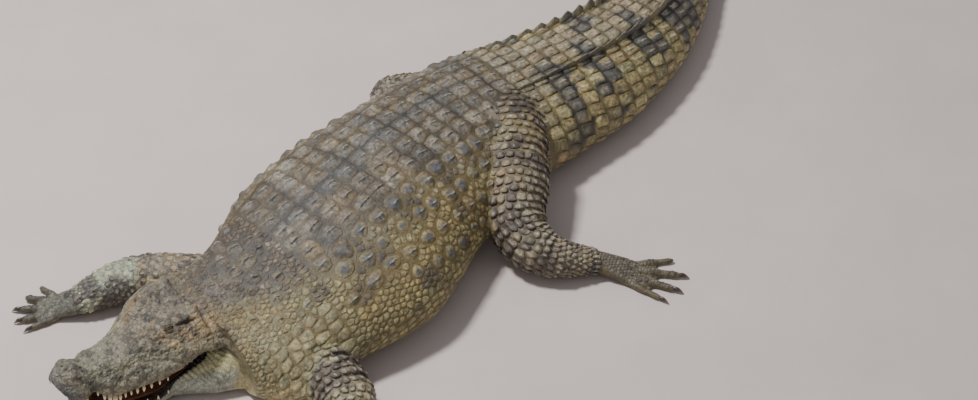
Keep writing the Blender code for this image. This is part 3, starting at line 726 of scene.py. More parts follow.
def shapeEyes(points):
    # lids that lie on the ball, open along an almond slit
    r = head["eyeRadius"]
    lid = r + head["lidThickness"]
    for hand in (-1, 1):
        centre, forward, outward, up = eyeFrame(hand)
        rel = points - centre
        f, o, b = rel @ forward, rel @ outward, rel @ up
        rho = np.hypot(f, b)
        near = (rho < 0.034) & (o > -0.012)
        f, o, b, rho = f[near], o[near], b[near], rho[near]
        ball = np.sqrt(np.maximum(r * r - rho * rho, 0))
        dome = np.sqrt(np.maximum(lid * lid - (rho * 0.92) ** 2, 0)) * ramp(0.0, 0.35, 1.30 - rho / r)
        slit = head["openHeight"] * np.maximum(1 - (f / head["openLength"]) ** 2, 0) + 1e-5
        middle = b + 0.0015
        openness = np.abs(middle) / slit
        inside = 1 - ramp(0.80, 1.05, openness)
        inside[np.abs(f) > head["openLength"]] = 0
        surface = np.maximum(o, dome)
        # brow above, fold below
        surface += 0.0042 * np.exp(-((b - 0.0150) / 0.0055) ** 2) * np.exp(-(f / 0.022) ** 2)
        surface += 0.0010 * np.exp(-((openness - 1.25) / 0.25) ** 2) * (rho < r)
        surface -= 0.0020 * np.exp(-((b + 0.0165 + f * f * 8) / 0.0020) ** 2) * np.exp(-(f / 0.016) ** 2)
        target = surface * (1 - inside) + (ball - 0.0045) * inside
        fade = 1 - ramp(0.024, 0.034, rho)
        points[near] += outward * ((target - o) * fade)[:, None]
    return points


def smoothFaces(data):
    data.polygons.foreach_set("use_smooth", np.ones(len(data.polygons), bool))


def makeHide():
    hide = addObject("hide", hideTubes())
    remesh = hide.modifiers.new("melt", "REMESH")
    remesh.mode = "VOXEL"
    remesh.voxel_size = body["hideVoxel"]
    graph = bpy.context.evaluated_depsgraph_get()
    data = bpy.data.meshes.new_from_object(hide.evaluated_get(graph))
    hide.modifiers.clear()
    hide.data = data
    points, edges = meshArrays(data)
    print("melted", len(points))
    s, v = toSpine(points)
    points = relax(points, edges, 0.5, 5)
    # soften where limbs leave the trunk and where the jaws meet the neck
    bodyS, bodyY = bodyPlace(points)
    surface, outward = bodyMap(np.clip(bodyS, 0.42, 3.98), bodyY)
    nearBody = 1 - ramp(0.015, 0.055, np.abs(((points - surface) * outward).sum(axis=1)))
    soft = np.zeros(len(points))
    for limb in limbs:
        gap, t = limbDistance(points, limb)
        soft = np.maximum(soft, (1 - ramp(0.010, 0.050, np.abs(gap))) * nearBody * (t < 0.7))
    soft = np.where(s < 0.50, 0, soft)
    neckSeam = bell(s, 0.575, 0.055) * (np.abs(v) < 0.30)
    points = relax(points, edges, np.clip(soft, 0, 1) * 0.6, 22)
    points = relax(points, edges, neckSeam * 0.5, 14)
    points[:, 2] = np.maximum(points[:, 2], 0.0025)
    setPoints(data, points)

    # finer faces on the head, and finer still round the eyes
    refine(data, lambda p: (toSpine(p)[0] < 0.585) & (np.abs(toSpine(p)[1]) < 0.215))
    points, edges = meshArrays(data)
    s, v = toSpine(points)
    onHead = ((s < 0.60) & (np.abs(v) < 0.22)).astype(float)
    setPoints(data, relax(points, edges, onHead * 0.5, 3))
    eyes = [eyeFrame(hand)[0] for hand in (-1, 1)]

    def eyeGap(p):
        return np.minimum(*[np.linalg.norm(p - centre, axis=1) for centre in eyes])

    for reach in (0.040, 0.031):
        refine(data, lambda p: eyeGap(p) < reach)
    points, edges = meshArrays(data)
    nearEye = 1 - ramp(0.030, 0.040, eyeGap(points))
    points = relax(points, edges, nearEye * 0.5, 3)
    setPoints(data, points)

    normals = meshNormals(data)
    s, v = toSpine(points)
    onHead = (s < 0.62) & (np.abs(v) < 0.24)
    lift = np.zeros(len(points))
    lift[onHead] = headRelief(points[onHead], normals[onHead])
    lift *= 1 - nearEye * 0.8
    lift += hideFolds(points, s, v)
    points = shapeEyes(points + normals * lift[:, None])
    points[:, 2] = np.maximum(points[:, 2], 0.0020)
    setPoints(data, points)
    smoothFaces(data)
    print("hide shaped", len(points))
    return hide


limbFolds = {
    # creases across each limb, as shares along it, and the pitch of its bands
    "foreRight": ((0.46, 0.52, 0.90), 0.0),
    "foreLeft": ((0.50, 0.88), 0.062),
    "hindLeft": ((0.46, 0.52, 0.90), 0.042),
    "hindRight": ((0.50, 0.90), 0.042),
}


def hideFolds(points, s, v):
    # loose skin of throat and cheek, and creases round the joints of the limbs
    z = points[:, 2]
    wave = np.sin((s + 0.02 * noise(points, 0.08, 31)) * 2 * math.pi / 0.026)
    throat = ramp(0.545, 0.575, s) * (1 - ramp(0.66, 0.74, s)) * (1 - ramp(0.17, 0.22, z))
    lift = 0.0036 * wave * throat * (v < 0) * (v > -0.45)
    u, across, level = headPlace(points)
    web = ramp(0.37, 0.40, u) * (1 - ramp(0.52, 0.56, u)) * ramp(0.07, 0.09, z)
    web *= (1 - ramp(0.145, 0.165, level)) * (np.abs(across) < 0.24)
    folds = np.sin((u * 0.9 + z * 0.6 + 0.015 * noise(points, 0.05, 35)) * 2 * math.pi / 0.017)
    lift += 0.0030 * folds * web
    bent = noise(points, 0.10, 39)
    for limb, (creases, pitch) in limbFolds.items():
        gap, t = limbDistance(points, limb)
        close = 1 - ramp(0.010, 0.030, np.abs(gap))
        for crease in creases:
            lift -= 0.0035 * bell(t, crease, 0.012) * close
        if pitch:
            bands = np.sin((t + 0.05 * bent) * 2 * math.pi / pitch)
            lift += 0.0034 * bands * close * ramp(0.12, 0.25, t) * (1 - ramp(0.70, 0.80, t))
    return lift * (1 - ramp(0.0, 0.004, 0.004 - z))


# colours of the hide, worked out for any place on the animal

hideColours = {
    "back": "#63594a", "backPale": "#8a8170", "ochre": "#827248", "olive": "#7d7658", "lowFlank": "#8b835c",
    "belly": "#c2b68a", "blotch": "#3a3838", "blueGrey": "#4b5056", "neckPale": "#857f60", "head": "#685f50",
    "headWarm": "#8a7452", "cheek": "#83806c", "jaw": "#a3a392", "jawYellow": "#a0945c", "mouth": "#4c2814",
    # the near-black mouth tone below is painted shade for the back of the mouth
    "paintedMouthShade": "#170d08", "tail": "#7e7249", "tailPale": "#a79a68", "tailTop": "#94866a", "limb": "#6f6150",
    # the near-black grey below serves dark markings and painted shade in the head's slits and grooves
    "limbPale": "#9da08a", "rust": "#83603a", "darkMarkAndShade": "#28262a", "plum": "#3d3438", "earth": "#6a5a3c",
    "slate": "#454342", "hand": "#57534b", "web": "#b3a566", "ink": "#2f3036", "nearArm": "#a09376",
    # the pale horn tone below is a painted highlight for the keels
    "paintedKeelHighlight": "#c4bdae", "between": "#75643a",
}

# dark patches of the flank: distance along the back, distance round the body, radius
darkSpots = ((1.26, -0.30, 0.05), (1.05, -0.36, 0.045), (1.48, -0.20, 0.045), (1.62, -0.30, 0.06),
             (1.40, -0.42, 0.05), (1.12, -0.52, 0.06), (0.94, -0.40, 0.05), (1.80, -0.24, 0.05),
             (1.02, -0.24, 0.04), (1.33, -0.52, 0.045), (1.56, -0.46, 0.04), (0.84, -0.30, 0.045))


def linearColour(name):
    # a colour of the hide by its name, or a hex value, as linear red, green and blue
    return np.array(toLinear(hideColours.get(name, name))[:3])


def evenColour(name, count):
    return np.tile(linearColour(name), (count, 1))


def blend(colour, other, weight):
    return colour + (linearColour(other) - colour) * np.clip(weight, 0, 1)[:, None]


def layered(colour, *layers):
    for other, weight in layers:
        colour = blend(colour, other, weight)
    return colour


def bodyParts(points):
    # places along and round the body, share of limb, place along the limb, and which limb
    s, y = bodyPlace(points)
    surface, outward = bodyMap(np.clip(s, 0.42, 3.98), y)
    away = ((points - surface) * outward).sum(axis=1)
    nearest, along = np.full(len(points), 9.0), np.zeros(len(points))
    number = np.zeros(len(points), int)
    for index, limb in enumerate(limbs):
        gap, t = limbDistance(points, limb)
        foot = footDistance(points, limb)
        near = np.minimum(gap, foot + (points[:, 2] > 0.09) * 9)
        closer = near < nearest
        nearest[closer] = near[closer]
        along[closer] = np.where(foot < gap, 1.05, t)[closer]
        number[closer] = index
    return s, y, (1 - ramp(0.006, 0.022, nearest)) * ramp(0.004, 0.020, away), along, number


def trunkColour(points, base, s, y, wide, middle, small):
    # trunk and tail, from the midline of the back down to the belly
    a = np.abs(y)
    under = a / halfGirth(s, 1)
    reach = 0.23 * ramp(0.5, 0.9, s) * (1 - ramp(2.0, 2.3, s) * 0.35) + 0.05
    onTail = ramp(1.95, 2.25, s)
    stripe = bell(y + 0.02 * (wide - 0.5), -0.01, 0.030) * ramp(0.8, 0.95, s) * (1 - ramp(1.75, 2.0, s))
    rows = 0.5 + 0.5 * np.sin(s * 2 * math.pi / 0.235 + (wide - 0.5) * 5)
    blotch = ramp(0.56, 0.70, middle * 0.72 + rows * 0.28) * (1 - onTail)
    upperBack = (1 - ramp(0.30, 0.46, a)) * ramp(0.70, 0.85, s)
    uneven = (layeredNoise(points, 0.030, 41) - 0.5) * 0.22
    tailBlotch = ramp(0.525, 0.620, layeredNoise(base, 0.075, 33) * 0.84 + rows * 0.16 + uneven)
    colour = layered(
        evenColour("back", len(points)),
        ("backPale", ramp(0.45, 0.62, middle) * 0.7),
        ("earth", ramp(0.50, 0.64, layeredNoise(base, 0.060, 23)) * 0.6),
        ("slate", ramp(0.54, 0.64, layeredNoise(points, 0.032, 27)) * 0.55),
        # flank: ochre low down, olive higher up
        ("olive", ramp(reach * 0.8, reach * 1.25, a) * 0.75),
        ("ochre", ramp(reach * 1.0, reach * 1.6, a + (wide - 0.5) * 0.12) * 0.8),
        ("lowFlank", ramp(0.42, 0.58, a) * 0.8),
        ("neckPale", ramp(0.16, 0.30, a) * (1 - ramp(0.80, 0.98, s)) * 0.75),
        # tail: pale yellow sides, dusky top
        ("tail", onTail * ramp(0.04, 0.11, a) * 0.9),
        ("tailPale", onTail * ramp(0.12, 0.26, a) * ramp(0.35, 0.6, small) * 0.8),
        ("tailTop", onTail * (1 - ramp(0.05, 0.12, a)) * 0.7),
        ("belly", ramp(0.70, 0.90, under) * 0.85),
        # dusky midline with a blue-grey cast, and dark blotches in loose cross rows
        ("blueGrey", stripe * 0.85),
        ("ink", stripe ** 3 * ramp(0.38, 0.52, small) * 0.70),
        ("blotch", blotch * (0.50 * upperBack + 0.25 * ramp(0.7, 0.8, s))),
        ("slate", (1 - ramp(0.80, 0.95, s)) * (1 - ramp(0.10, 0.22, a)) * 0.45),
        ("earth", onTail * ramp(0.48, 0.60, layeredNoise(base, 0.070, 37)) * 0.55),
        ("ink", tailBlotch * (1 - ramp(0.75, 0.9, under)) * onTail * 0.90))
    for spotS, spotY, size in darkSpots:
        gap = np.hypot(s - spotS, y - spotY)
        colour = blend(colour, "blotch", (1 - ramp(size * 0.55, size * 0.85, gap)) * 0.75)
    return colour


def limbColour(base, t, number, middle, small):
    # t: share along the limb; the fore limbs are paler than the hind ones
    farArm, nearArm = (number == list(limbs).index(limb) for limb in ("foreRight", "foreLeft"))
    return layered(
        evenColour("limb", len(base)),
        ("backPale", ramp(0.45, 0.65, small) * 0.5),
        ("rust", ramp(0.5, 0.7, middle) * 0.45),
        ("limbPale", (farArm & (t > 0.50)) * 0.85 + 0.15),
        ("limbPale", nearArm * 0.30),
        ("nearArm", nearArm * 0.65),
        ("ochre", (t < 0.30) * 0.45),
        ("hand", ramp(0.92, 1.0, t) * 0.85),
        ("plum", ramp(0.48, 0.55, layeredNoise(base, 0.055, 21)) * 0.80),
        ("lowFlank", (1 - ramp(0.0, 0.035, base[:, 2])) * 0.6))


def headColour(base, u, across, z, row, middle, small):
    # bony skin above the lip, pale jaw and throat below it
    half, plate, top, brow, edge = (row[:, k] for k in range(5))
    lumps, pits = skullLumps(base)
    colour = blend(evenColour("head", len(base)), "headWarm", ramp(0.42, 0.60, middle) * 0.7)
    # painted shade in the dips and painted highlight on the lumps and ridges of the bony skin
    colour *= (1 + 1.3 * lumps + 0.55 * pits)[:, None]
    ear = bell(z, brow - 0.014, 0.0042) * ramp(0.398, 0.410, u) * (1 - ramp(0.462, 0.476, u))
    colour = layered(
        colour,
        ("cheek", (1 - ramp(0.185, 0.235, z)) * 0.75),
        ("darkMarkAndShade", ramp(0.54, 0.64, small) * 0.55),
        ("darkMarkAndShade", bell(u, 0.085, 0.022) * ramp(0.42, 0.55, small) * 0.8),
        ("blueGrey", bell(np.hypot(u - 0.004, (z - 0.150) * 0.7), 0, 0.042) * 0.75),
        # painted shade in the ear slit, in the notch behind the corner of the skull table, and along the gap
        # under the upper jaw's edge
        ("darkMarkAndShade", ear * (across > plate * 0.8) * 0.9),
        ("darkMarkAndShade", bell(np.hypot(u - 0.518, across - 0.088), 0, 0.014) * 0.7),
        ("darkMarkAndShade", ramp(-0.006, 0.0, edge - z + 0.001) * (across > half * 0.9) * 0.6))
    jaw = layered(
        evenColour("jaw", len(base)),
        ("web", ramp(0.35, 0.40, u) * ramp(0.08, 0.12, base[:, 2]) * 0.55),
        ("darkMarkAndShade", ramp(0.56, 0.66, small) * 0.3))
    return jaw + (colour - jaw) * ramp(-0.012, 0.0, z - edge + 0.004)[:, None]


def mouthLining(base, u, across, z, row):
    # lining of the mouth, between the margins of the two jaws
    half, edge, palate = row[:, 0], row[:, 4], row[:, 5]
    jawHalf, rim, rimWidth = (rowCurve(jawRows, np.clip(u, 0.03, 0.56))[:, k] for k in range(3))
    level = base[:, 2]
    below = (across < jawHalf - rimWidth * 0.45) & (u > 0.04) & (level < rim + 0.004) & (level > 0.012)
    roof = edge + (palate - edge) * np.clip((half - across) / (half * 0.25), 0, 1) * 0.6 + 0.006
    above = (across < half * 0.93) & (z > 0.10) & (z < palate + 0.006) & (z < roof) & (level > rim + 0.004)
    return ((below | above) & (u < 0.512)).astype(float)


mottles = ((0.22, 3), (0.085, 5), (0.035, 9))     # size and seed of the wide, middle and small mottling


def paint(points, centres=None):
    # linear colour at each point; scales are blotched as a whole, from their centres
    points = np.asarray(points, float)
    base = points if centres is None else centres * 0.40 + points * 0.60
    wide, middle, small = (layeredNoise(base, size, seed) for size, seed in mottles)
    s, y, limb, along, number = bodyParts(base)
    colour = trunkColour(points, base, s, y, wide, middle, small)
    colour += (limbColour(base, along, number, middle, small) - colour) * limb[:, None]
    u, v, z = headPlace(base)
    across = np.abs(v)
    row = rowCurve(headRows, np.clip(u, 0, 0.56))
    onHead = (1 - ramp(0.52, 0.60, u)) * (across < 0.26)
    colour += (headColour(base, u, across, z, row, middle, small) - colour) * onHead[:, None]
    lining = mouthLining(base, u, across, z, row)
    # the lining darkens toward the throat with painted shade
    mouth = layered(evenColour("mouth", len(base)), ("paintedMouthShade", ramp(0.22, 0.42, u) * 0.95),
                    ("jawYellow", ramp(0.5, 0.8, small) * 0.15))
    colour += (mouth - colour) * lining[:, None]
    shade = (0.80 + 0.40 * noise(points, 0.009, 12)) * (0.46 + 1.08 * layeredNoise(points, 0.014, 29))
    return colour * shade[:, None], lining, limb


def setColour(data, name, colour):
    layer = data.attributes.new(name, "FLOAT_COLOR", "POINT")
    values = np.ones((len(data.vertices), 4))
    values[:, :3] = colour
    layer.data.foreach_set("color", values.ravel())


def setValue(data, name, values):
    layer = data.attributes.new(name, "FLOAT", "POINT")
    layer.data.foreach_set("value", np.ascontiguousarray(values, np.float64))


def paintHide(hide):
    # skin between scales: darkened behind the head by painted shade of the creases, less on the limbs, and
    # ochre on the flanks
    points = meshArrays(hide.data)[0]
    colour, lining, limb = paint(points)
    s, y = bodyPlace(points)
    between = ramp(0.60, 0.72, s) * (1 - limb * 0.4)
    ochre = ramp(0.16, 0.30, np.abs(y)) * (1 - ramp(2.0, 2.2, s))
    # painted shade of the creases: the skin showing between the scales is taken darker
    colour += (blend(colour * 0.62, "between", 0.50 * ochre) - colour) * between[:, None]
    setColour(hide.data, "hideColour", colour)
    setValue(hide.data, "lining", lining)
    u, v, z = headPlace(points)
    setValue(hide.data, "skull", (1 - ramp(0.53, 0.58, u)) * (np.abs(v) < 0.25) * (1 - lining))


# scales: every one is a small domed plate, bounded halfway to its neighbours

class HideSurface:
    # finds the nearest place on the finished hide, with its smooth direction
    def __init__(self, item):
        data = item.data
        self.points, edges = meshArrays(data)
        self.normals = meshNormals(data)
        faces = [tuple(face.vertices) for face in data.polygons]
        self.corner = np.array([face[0] for face in faces]), np.array([face[2 % len(face)] for face in faces])
        self.tree = BVHTree.FromPolygons(self.points.tolist(), faces)

    def nearest(self, points):
        find = self.tree.find_nearest
        place, index = np.empty((len(points), 3)), np.empty(len(points), int)
        for k, point in enumerate(points.tolist()):
            spot, normal, face, gap = find(point)
            place[k] = spot
            index[k] = face
        normal = unit(self.normals[self.corner[0][index]] + self.normals[self.corner[1][index]])
        return place, normal


def neighbourOffsets(seeds, chosen, count, wrap=None):
    # offsets to the nearest seeds, measured on the unrolled hide
    ghosts, owner = [seeds], [np.arange(len(seeds))]
    if wrap is not None:
        for shift in (-wrap, wrap):
            moved = seeds + np.array((0.0, shift))
            close = np.abs(moved[:, 1]) < wrap * 0.5 + 0.12
            ghosts.append(moved[close])
            owner.append(np.arange(len(seeds))[close])
    ghosts, owner = np.concatenate(ghosts), np.concatenate(owner)
    tree = KDTree(len(ghosts))
    for k, (x, y) in enumerate(ghosts.tolist()):
        tree.insert((x, y, 0), k)
    tree.balance()
    found = np.empty((len(chosen), count), int)
    for k, (x, y) in enumerate(seeds[chosen].tolist()):
        hits = [hit[1] for hit in tree.find_n((x, y, 0), count + 1)][1:]
        found[k] = hits + [hits[-1]] * (count - len(hits))
    return ghosts[found] - seeds[chosen][:, None, :], owner[found]


def scaleReach(seeds, chosen, radius, crease, rays, wrap=None, sharp=9.0, longest=1.35, count=18):
    # distance from each seed to the rim of its scale, along each ray
    offsets, owner = neighbourOffsets(seeds, chosen, min(count, len(seeds) - 1), wrap)
    gap = np.maximum(np.linalg.norm(offsets, axis=2), 1e-5)
    own, crease = radius[chosen], crease[chosen]
    half = (gap ** 2 + own[:, None] ** 2 - radius[owner] ** 2) / (2 * gap) - crease[:, None] / 2
    half = np.maximum(half, 0.0015)
    turns = fullTurn(rays)
    way = np.stack((np.cos(turns), np.sin(turns)), axis=1)
    facing = (offsets / gap[:, :, None]) @ way.T
    closeness = np.where(facing > 0.06, facing / half[:, :, None], 0)
    total = (closeness ** sharp).sum(axis=1) + (1 / (own * longest))[:, None] ** sharp
    return total ** (-1 / sharp), way


scaleStyles = {
    # profile: share of the way out and height there; rings: steps from rim to middle; rough: relief in metres
    "plate": {"profile": ((0, 1), (0.26, 0.94), (0.46, 0.62), (0.66, 0.26), (0.88, 0.12),
                          (0.96, 0.02), (1, -0.22)),
              "rings": 15, "rough": 0.0026, "grain": 0.015, "tilt": 0.22, "keelWidth": 0.10, "waver": 0.0042,
              "top": "#75716a", "topShare": 0.40, "rim": "#5c4b32", "rimShare": 0.45},
    "boss": {"profile": ((0, 1), (0.20, 0.98), (0.42, 0.86), (0.66, 0.52), (0.86, 0.18),
                         (0.96, 0.02), (1, -0.35)),
             "rings": 12, "rough": 0.0020, "grain": 0.011, "tilt": 0.30, "keelWidth": 0.16, "waver": 0.0034,
             "top": "#4e4d4e", "topShare": 0.68, "rim": "#706040", "rimShare": 0.66},
    "bead": {"profile": ((0, 1.0), (0.30, 0.98), (0.60, 0.88), (0.86, 0.60), (0.97, 0.22), (1, -0.35)),
             "rings": 5, "rough": 0.0008, "grain": 0.006, "tilt": 0.25, "keelWidth": 0.2, "waver": 0.0022,
             "top": "#8f8a6a", "topShare": 0.0, "rim": "#6e4f2a", "rimShare": 0.35},
    "block": {"profile": ((0, 1.0), (0.40, 0.97), (0.72, 0.86), (0.90, 0.66), (0.97, 0.36), (1, -0.35)),
              "rings": 9, "rough": 0.0017, "grain": 0.013, "tilt": 1.10, "keelWidth": 0.17, "waver": 0.0030,
              "top": "#a2987e", "topShare": 0.25, "rim": "#4c402c", "rimShare": 0.36},
    "leg": {"profile": ((0, 1.0), (0.35, 0.96), (0.68, 0.80), (0.90, 0.52), (0.97, 0.25), (1, -0.35)),
            "rings": 7, "rough": 0.0017, "grain": 0.011, "tilt": 1.10, "keelWidth": 0.24, "waver": 0.0030,
            "top": "#90866f", "topShare": 0.30, "rim": "#3c3128", "rimShare": 0.38},
}


def scaleRelief(points, grain, seed):
    # wrinkled and pitted horn, from about -1 to 1
    ridge = 0.5 - np.abs(noise(points, grain * 0.6, seed + 4) * 2 - 1)
    return (layeredNoise(points, grain, seed) - 0.5) * 1.7 + ridge * 0.7


def waver(flat, amount):
    # the same gentle waver for all creases, so that neighbours still fit
    spots = np.concatenate((flat, np.zeros((len(flat), 1))), axis=1)
    shift = [noise(spots, 0.030, seed) + 0.45 * noise(spots, 0.011, seed + 2) - 0.725 for seed in (61, 65)]
    return flat + np.stack(shift, axis=1) * 2 * amount


def layScales(name, surface, rows, chosen, mapTo, kind, rays,
              wrap=None, reachMax=0.010, sharp=9.0, longest=1.35):
    # rows: unrolled place, radius, crease, height, keel of every scale; mapTo: unrolled place -> point
    chosen = np.nonzero(chosen)[0]
    look = scaleStyles[kind]
    reach, way = scaleReach(rows[:, :2], chosen, rows[:, 2], rows[:, 3], rays, wrap, sharp, longest)
    seeds, tall, ridged = rows[chosen, :2], rows[chosen, 4], rows[chosen, 5]
    rings = np.concatenate(((1.0, 0.97), np.linspace(0.90, 0.0, look["rings"] - 1)))
    dome = np.interp(rings, *zip(*look["profile"]))
    n, steps = len(seeds), len(rings) - 1
    # rings from the rim inward, and one corner in the middle
    local = [way[None] * (reach * share)[:, :, None] for share in rings[:-1]] + [np.zeros((n, 1, 2))]
    local = np.concatenate(local, axis=1)
    edge = np.broadcast_to(np.append(np.repeat(rings[:-1], rays), 0.0), (n, steps * rays + 1))
    height = tall[:, None] * np.append(np.repeat(dome[:-1], rays), dome[-1])
    size = reach.mean(axis=1)[:, None]
    # ridge along the middle, highest toward the rear of the scale
    inner = edge < 0.99
    along = local[:, :, 0] / size
    ridge = np.exp(-(np.abs(local[:, :, 1]) / (size * look["keelWidth"])) ** 1.4)
    ridge *= ramp(-0.80, 0.15, along) * (1 - ramp(0.50, 0.95, along)) * inner
    height += ridged[:, None] * ridge
    # tilted so that the rear edge stands proud
    height += tall[:, None] * look["tilt"] * np.clip(along, -1, 1) * inner
    flat = waver((seeds[:, None, :] + local).reshape(-1, 2), look["waver"])
    point = mapTo(flat[:, 0], flat[:, 1])
    spot, normal = surface.nearest(point)
    away = np.linalg.norm(spot - point, axis=1).reshape(n, -1)
    centre = spot.reshape(n, -1, 3)[:, -1]
    keep = (away[:, -1] < reachMax) & (away.max(axis=1) < reachMax * 1.9) & (centre[:, 2] > 0.0045)
    relief = scaleRelief(spot, look["grain"], 71).reshape(n, -1) * (1 - edge ** 6)
    height += relief * look["rough"]
    # scales on the ground are pressed flat
    final = spot + normal * height.reshape(-1)[:, None]
    final[:, 2] = np.maximum(final[:, 2], 0.0008)
    corner = np.arange(steps * rays).reshape(steps, rays)
    beside = np.roll(corner, -1, axis=1)
    quads = np.stack((corner[:-1], beside[:-1], beside[1:], corner[1:]), axis=-1).reshape(-1, 4)
    fan = np.stack((corner[-1], beside[-1], np.full(rays, steps * rays)), axis=1)
    return {"name": name, "kind": kind, "points": final.reshape(n, -1, 3)[keep], "quads": quads, "fan": fan,
            "edge": edge[keep], "keel": (ridge * (ridged > 0)[:, None])[keep], "seeds": seeds[keep],
            "local": local[keep], "centre": centre[keep], "size": size[keep], "relief": relief[keep]}


def addPatchMap(data, seeds, around, loops):
    # each scale is a small patch at its root's place on the unrolled hide
    low, high = seeds.min(axis=0), seeds.max(axis=0)
    spot = 0.01 + 0.98 * (seeds - low) / np.maximum(high - low, 1e-6)
    patches = (spot[:, None, :] + around).reshape(-1, 2)
    data.uv_layers.new(name="OFBake").data.foreach_set("uv", patches[loops].ravel())


def finishPiece(item, material, slot, *nodes):
    smoothFaces(item.data)
    item.data.materials.append(material)
    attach(item, "root")
    if nodes:
        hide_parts(*nodes)


def buildScales(part, seedShift=0):
    # one joined mesh of scales, with its colours and its patch map
    points = part["points"]
    n, per = points.shape[:2]
    offset = (np.arange(n) * per)[:, None, None]
    quads = (part["quads"][None] + offset).reshape(-1, 4)
    fans = (part["fan"][None] + offset).reshape(-1, 3)
    loops = np.concatenate((quads.ravel(), fans.ravel()))
    data = bpy.data.meshes.new(part["name"])
    data.vertices.add(n * per)
    data.vertices.foreach_set("co", points.ravel())
    data.loops.add(len(loops))
    data.loops.foreach_set("vertex_index", loops)
    data.polygons.add(len(quads) + len(fans))
    starts = np.concatenate((np.arange(len(quads)) * 4, len(quads) * 4 + np.arange(len(fans)) * 3))
    data.polygons.foreach_set("loop_start", starts)
    data.update(calc_edges=True)
    colour, lining, limbShare = paint(points.reshape(-1, 3), np.repeat(part["centre"], per, axis=0))
    rng = np.random.default_rng(body["seed"] + len(part["name"]) + n + seedShift)
    shade = np.repeat(rng.normal(1.0, 0.15, n).clip(0.62, 1.36), per)
    warm = np.repeat(rng.normal(0.0, 0.045, n), per)
    colour = colour * shade[:, None] * np.stack((1 + warm, np.ones(len(warm)), 1 - warm), axis=1)
    edge, keel = part["edge"].ravel(), part["keel"].ravel()
    look = scaleStyles[part["kind"]]
    onTrunk = 1 - limbShare * (part["kind"] != "leg")
    patchy = 0.45 + 1.1 * np.repeat(rng.random(n), per)
    colour = layered(
        colour,
        (look["top"], look["topShare"] * (1 - ramp(0.30, 0.78, edge)) * patchy * onTrunk),
        (look["rim"], look["rimShare"] * ramp(0.50, 0.92, edge) * onTrunk))
    # painted shade darkens the pits and painted highlight lightens the ridges of the relief; painted shade of
    # the crease darkens the very rim
    colour *= (1 + 0.48 * np.clip(part["relief"].ravel(), -1, 1))[:, None]
    colour *= (1 - 0.30 * ramp(0.92, 1.0, edge))[:, None]
    # painted highlight along the keels
    colour = blend(colour, "paintedKeelHighlight", ramp(0.55, 1.0, keel) * 0.55)
    setColour(data, "hideColour", colour)
    setValue(data, "keel", keel)
    setValue(data, "rim", edge)
    addPatchMap(data, part["seeds"], part["local"] / part["size"][:, :, None] * 0.0012, loops)
    finishPiece(addObject(part["name"], data), hornScale, "hide")
    print(part["name"], n, "scales", len(quads) * 2 + len(fans), "triangles")


def whorlStarts():
    # row starts along the tail, shorter toward the tip
    count = body["doubleWhorls"] + body["singleWhorls"]
    sizes = 1.0 - 0.45 * np.arange(count) / count
    reach = body["length"] - 0.02 - body["tailStart"]
    return body["tailStart"] + np.concatenate(([0], np.cumsum(sizes))) * reach / sizes.sum()


scaleLayout = {
    "rowPitch": 0.0773,        # length of a row of back scales
    "rowCount": 15,
    "backStart": 0.86,         # behind the neck
    "backColumns": (0.036, 0.108, 0.178),
    "flankColumns": (0.262, 0.346, 0.428, 0.508),
    # crease: gap to the neighbours; keeled: share of scales with a keel; shake: how far they stray
    "back": {"radius": 0.037, "crease": 0.0022, "height": 0.0046, "keel": (0.0060, 0.0100), "shake": 0.0042},
    "flank": {"radius": (0.026, 0.038), "crease": 0.003, "height": 0.0076, "keel": 0.0050, "keeled": 0.6,
              "shake": 0.011},
    "tail": {"width": 0.030, "crease": 0.0016, "height": 0.0037, "keel": 0.0052, "keeled": 0.8,
             "keeledRows": 5, "keeledTo": 2.9, "shake": 0.0026},
    # fine scales in between: span along, span around, spacing, smallest and largest radius, height, jitter
    "flankGrain": ((0.86, 1.98), (0.245, 0.545), 0.021, (0.0085, 0.0125), 0.0026, 0.22),
    "neckGrain": ((0.555, 0.855), (0.0, 0.335), 0.020, (0.0080, 0.0120), 0.0028, 0.26),
    "jawGrain": ((0.545, 0.588), (0.30, 0.80), 0.017, (0.0070, 0.0100), 0.0026, 0.26),
    # oblong plates in rows: length and width of a place, then radius, crease, height, keel, kind and shake
    "lowerFlank": (0.030, 0.025, (0.0145, 0.0024, 0.0028, 0.0, "small", 0.0026)),
    "neckPlates": (0.046, 0.036, (0.021, 0.0030, 0.0034, 0.0, "small", 0.0035)),
    # shields on the nape, and a row behind the skull: s, y, radius
    "shields": ((0.690, 0.036, 0.036), (0.752, 0.037, 0.036), (0.722, 0.107, 0.032), (0.800, 0.030, 0.026),
                (0.612, 0.030, 0.019), (0.616, 0.086, 0.018), (0.665, 0.165, 0.022), (0.790, 0.150, 0.026),
                (0.735, 0.225, 0.022), (0.640, 0.225, 0.019), (0.820, 0.225, 0.024), (0.700, 0.290, 0.020),
                (0.800, 0.300, 0.022)),
}
scaleKinds = {"back": 0, "flank": 1, "small": 2, "nape": 3, "tail": 4}


def fillBetween(rng, large, sRange, yRange, pitch, jitter):
    # loose grid of small scales, leaving the places of the large ones free
    s = np.arange(sRange[0], sRange[1], pitch * 0.87)
    out = []
    for k, station in enumerate(s):
        y = np.arange(yRange[0] + (k % 2) * pitch / 2, yRange[1], pitch)
        out.append(np.stack((np.full(len(y), station), y), axis=1))
    grid = np.concatenate(out)
    grid += rng.uniform(-jitter, jitter, grid.shape) * pitch
    gap = np.linalg.norm(grid[:, None] - large[None, :, :2], axis=2) - large[None, :, 2]
    return grid[gap.min(axis=1) > pitch * 0.42]


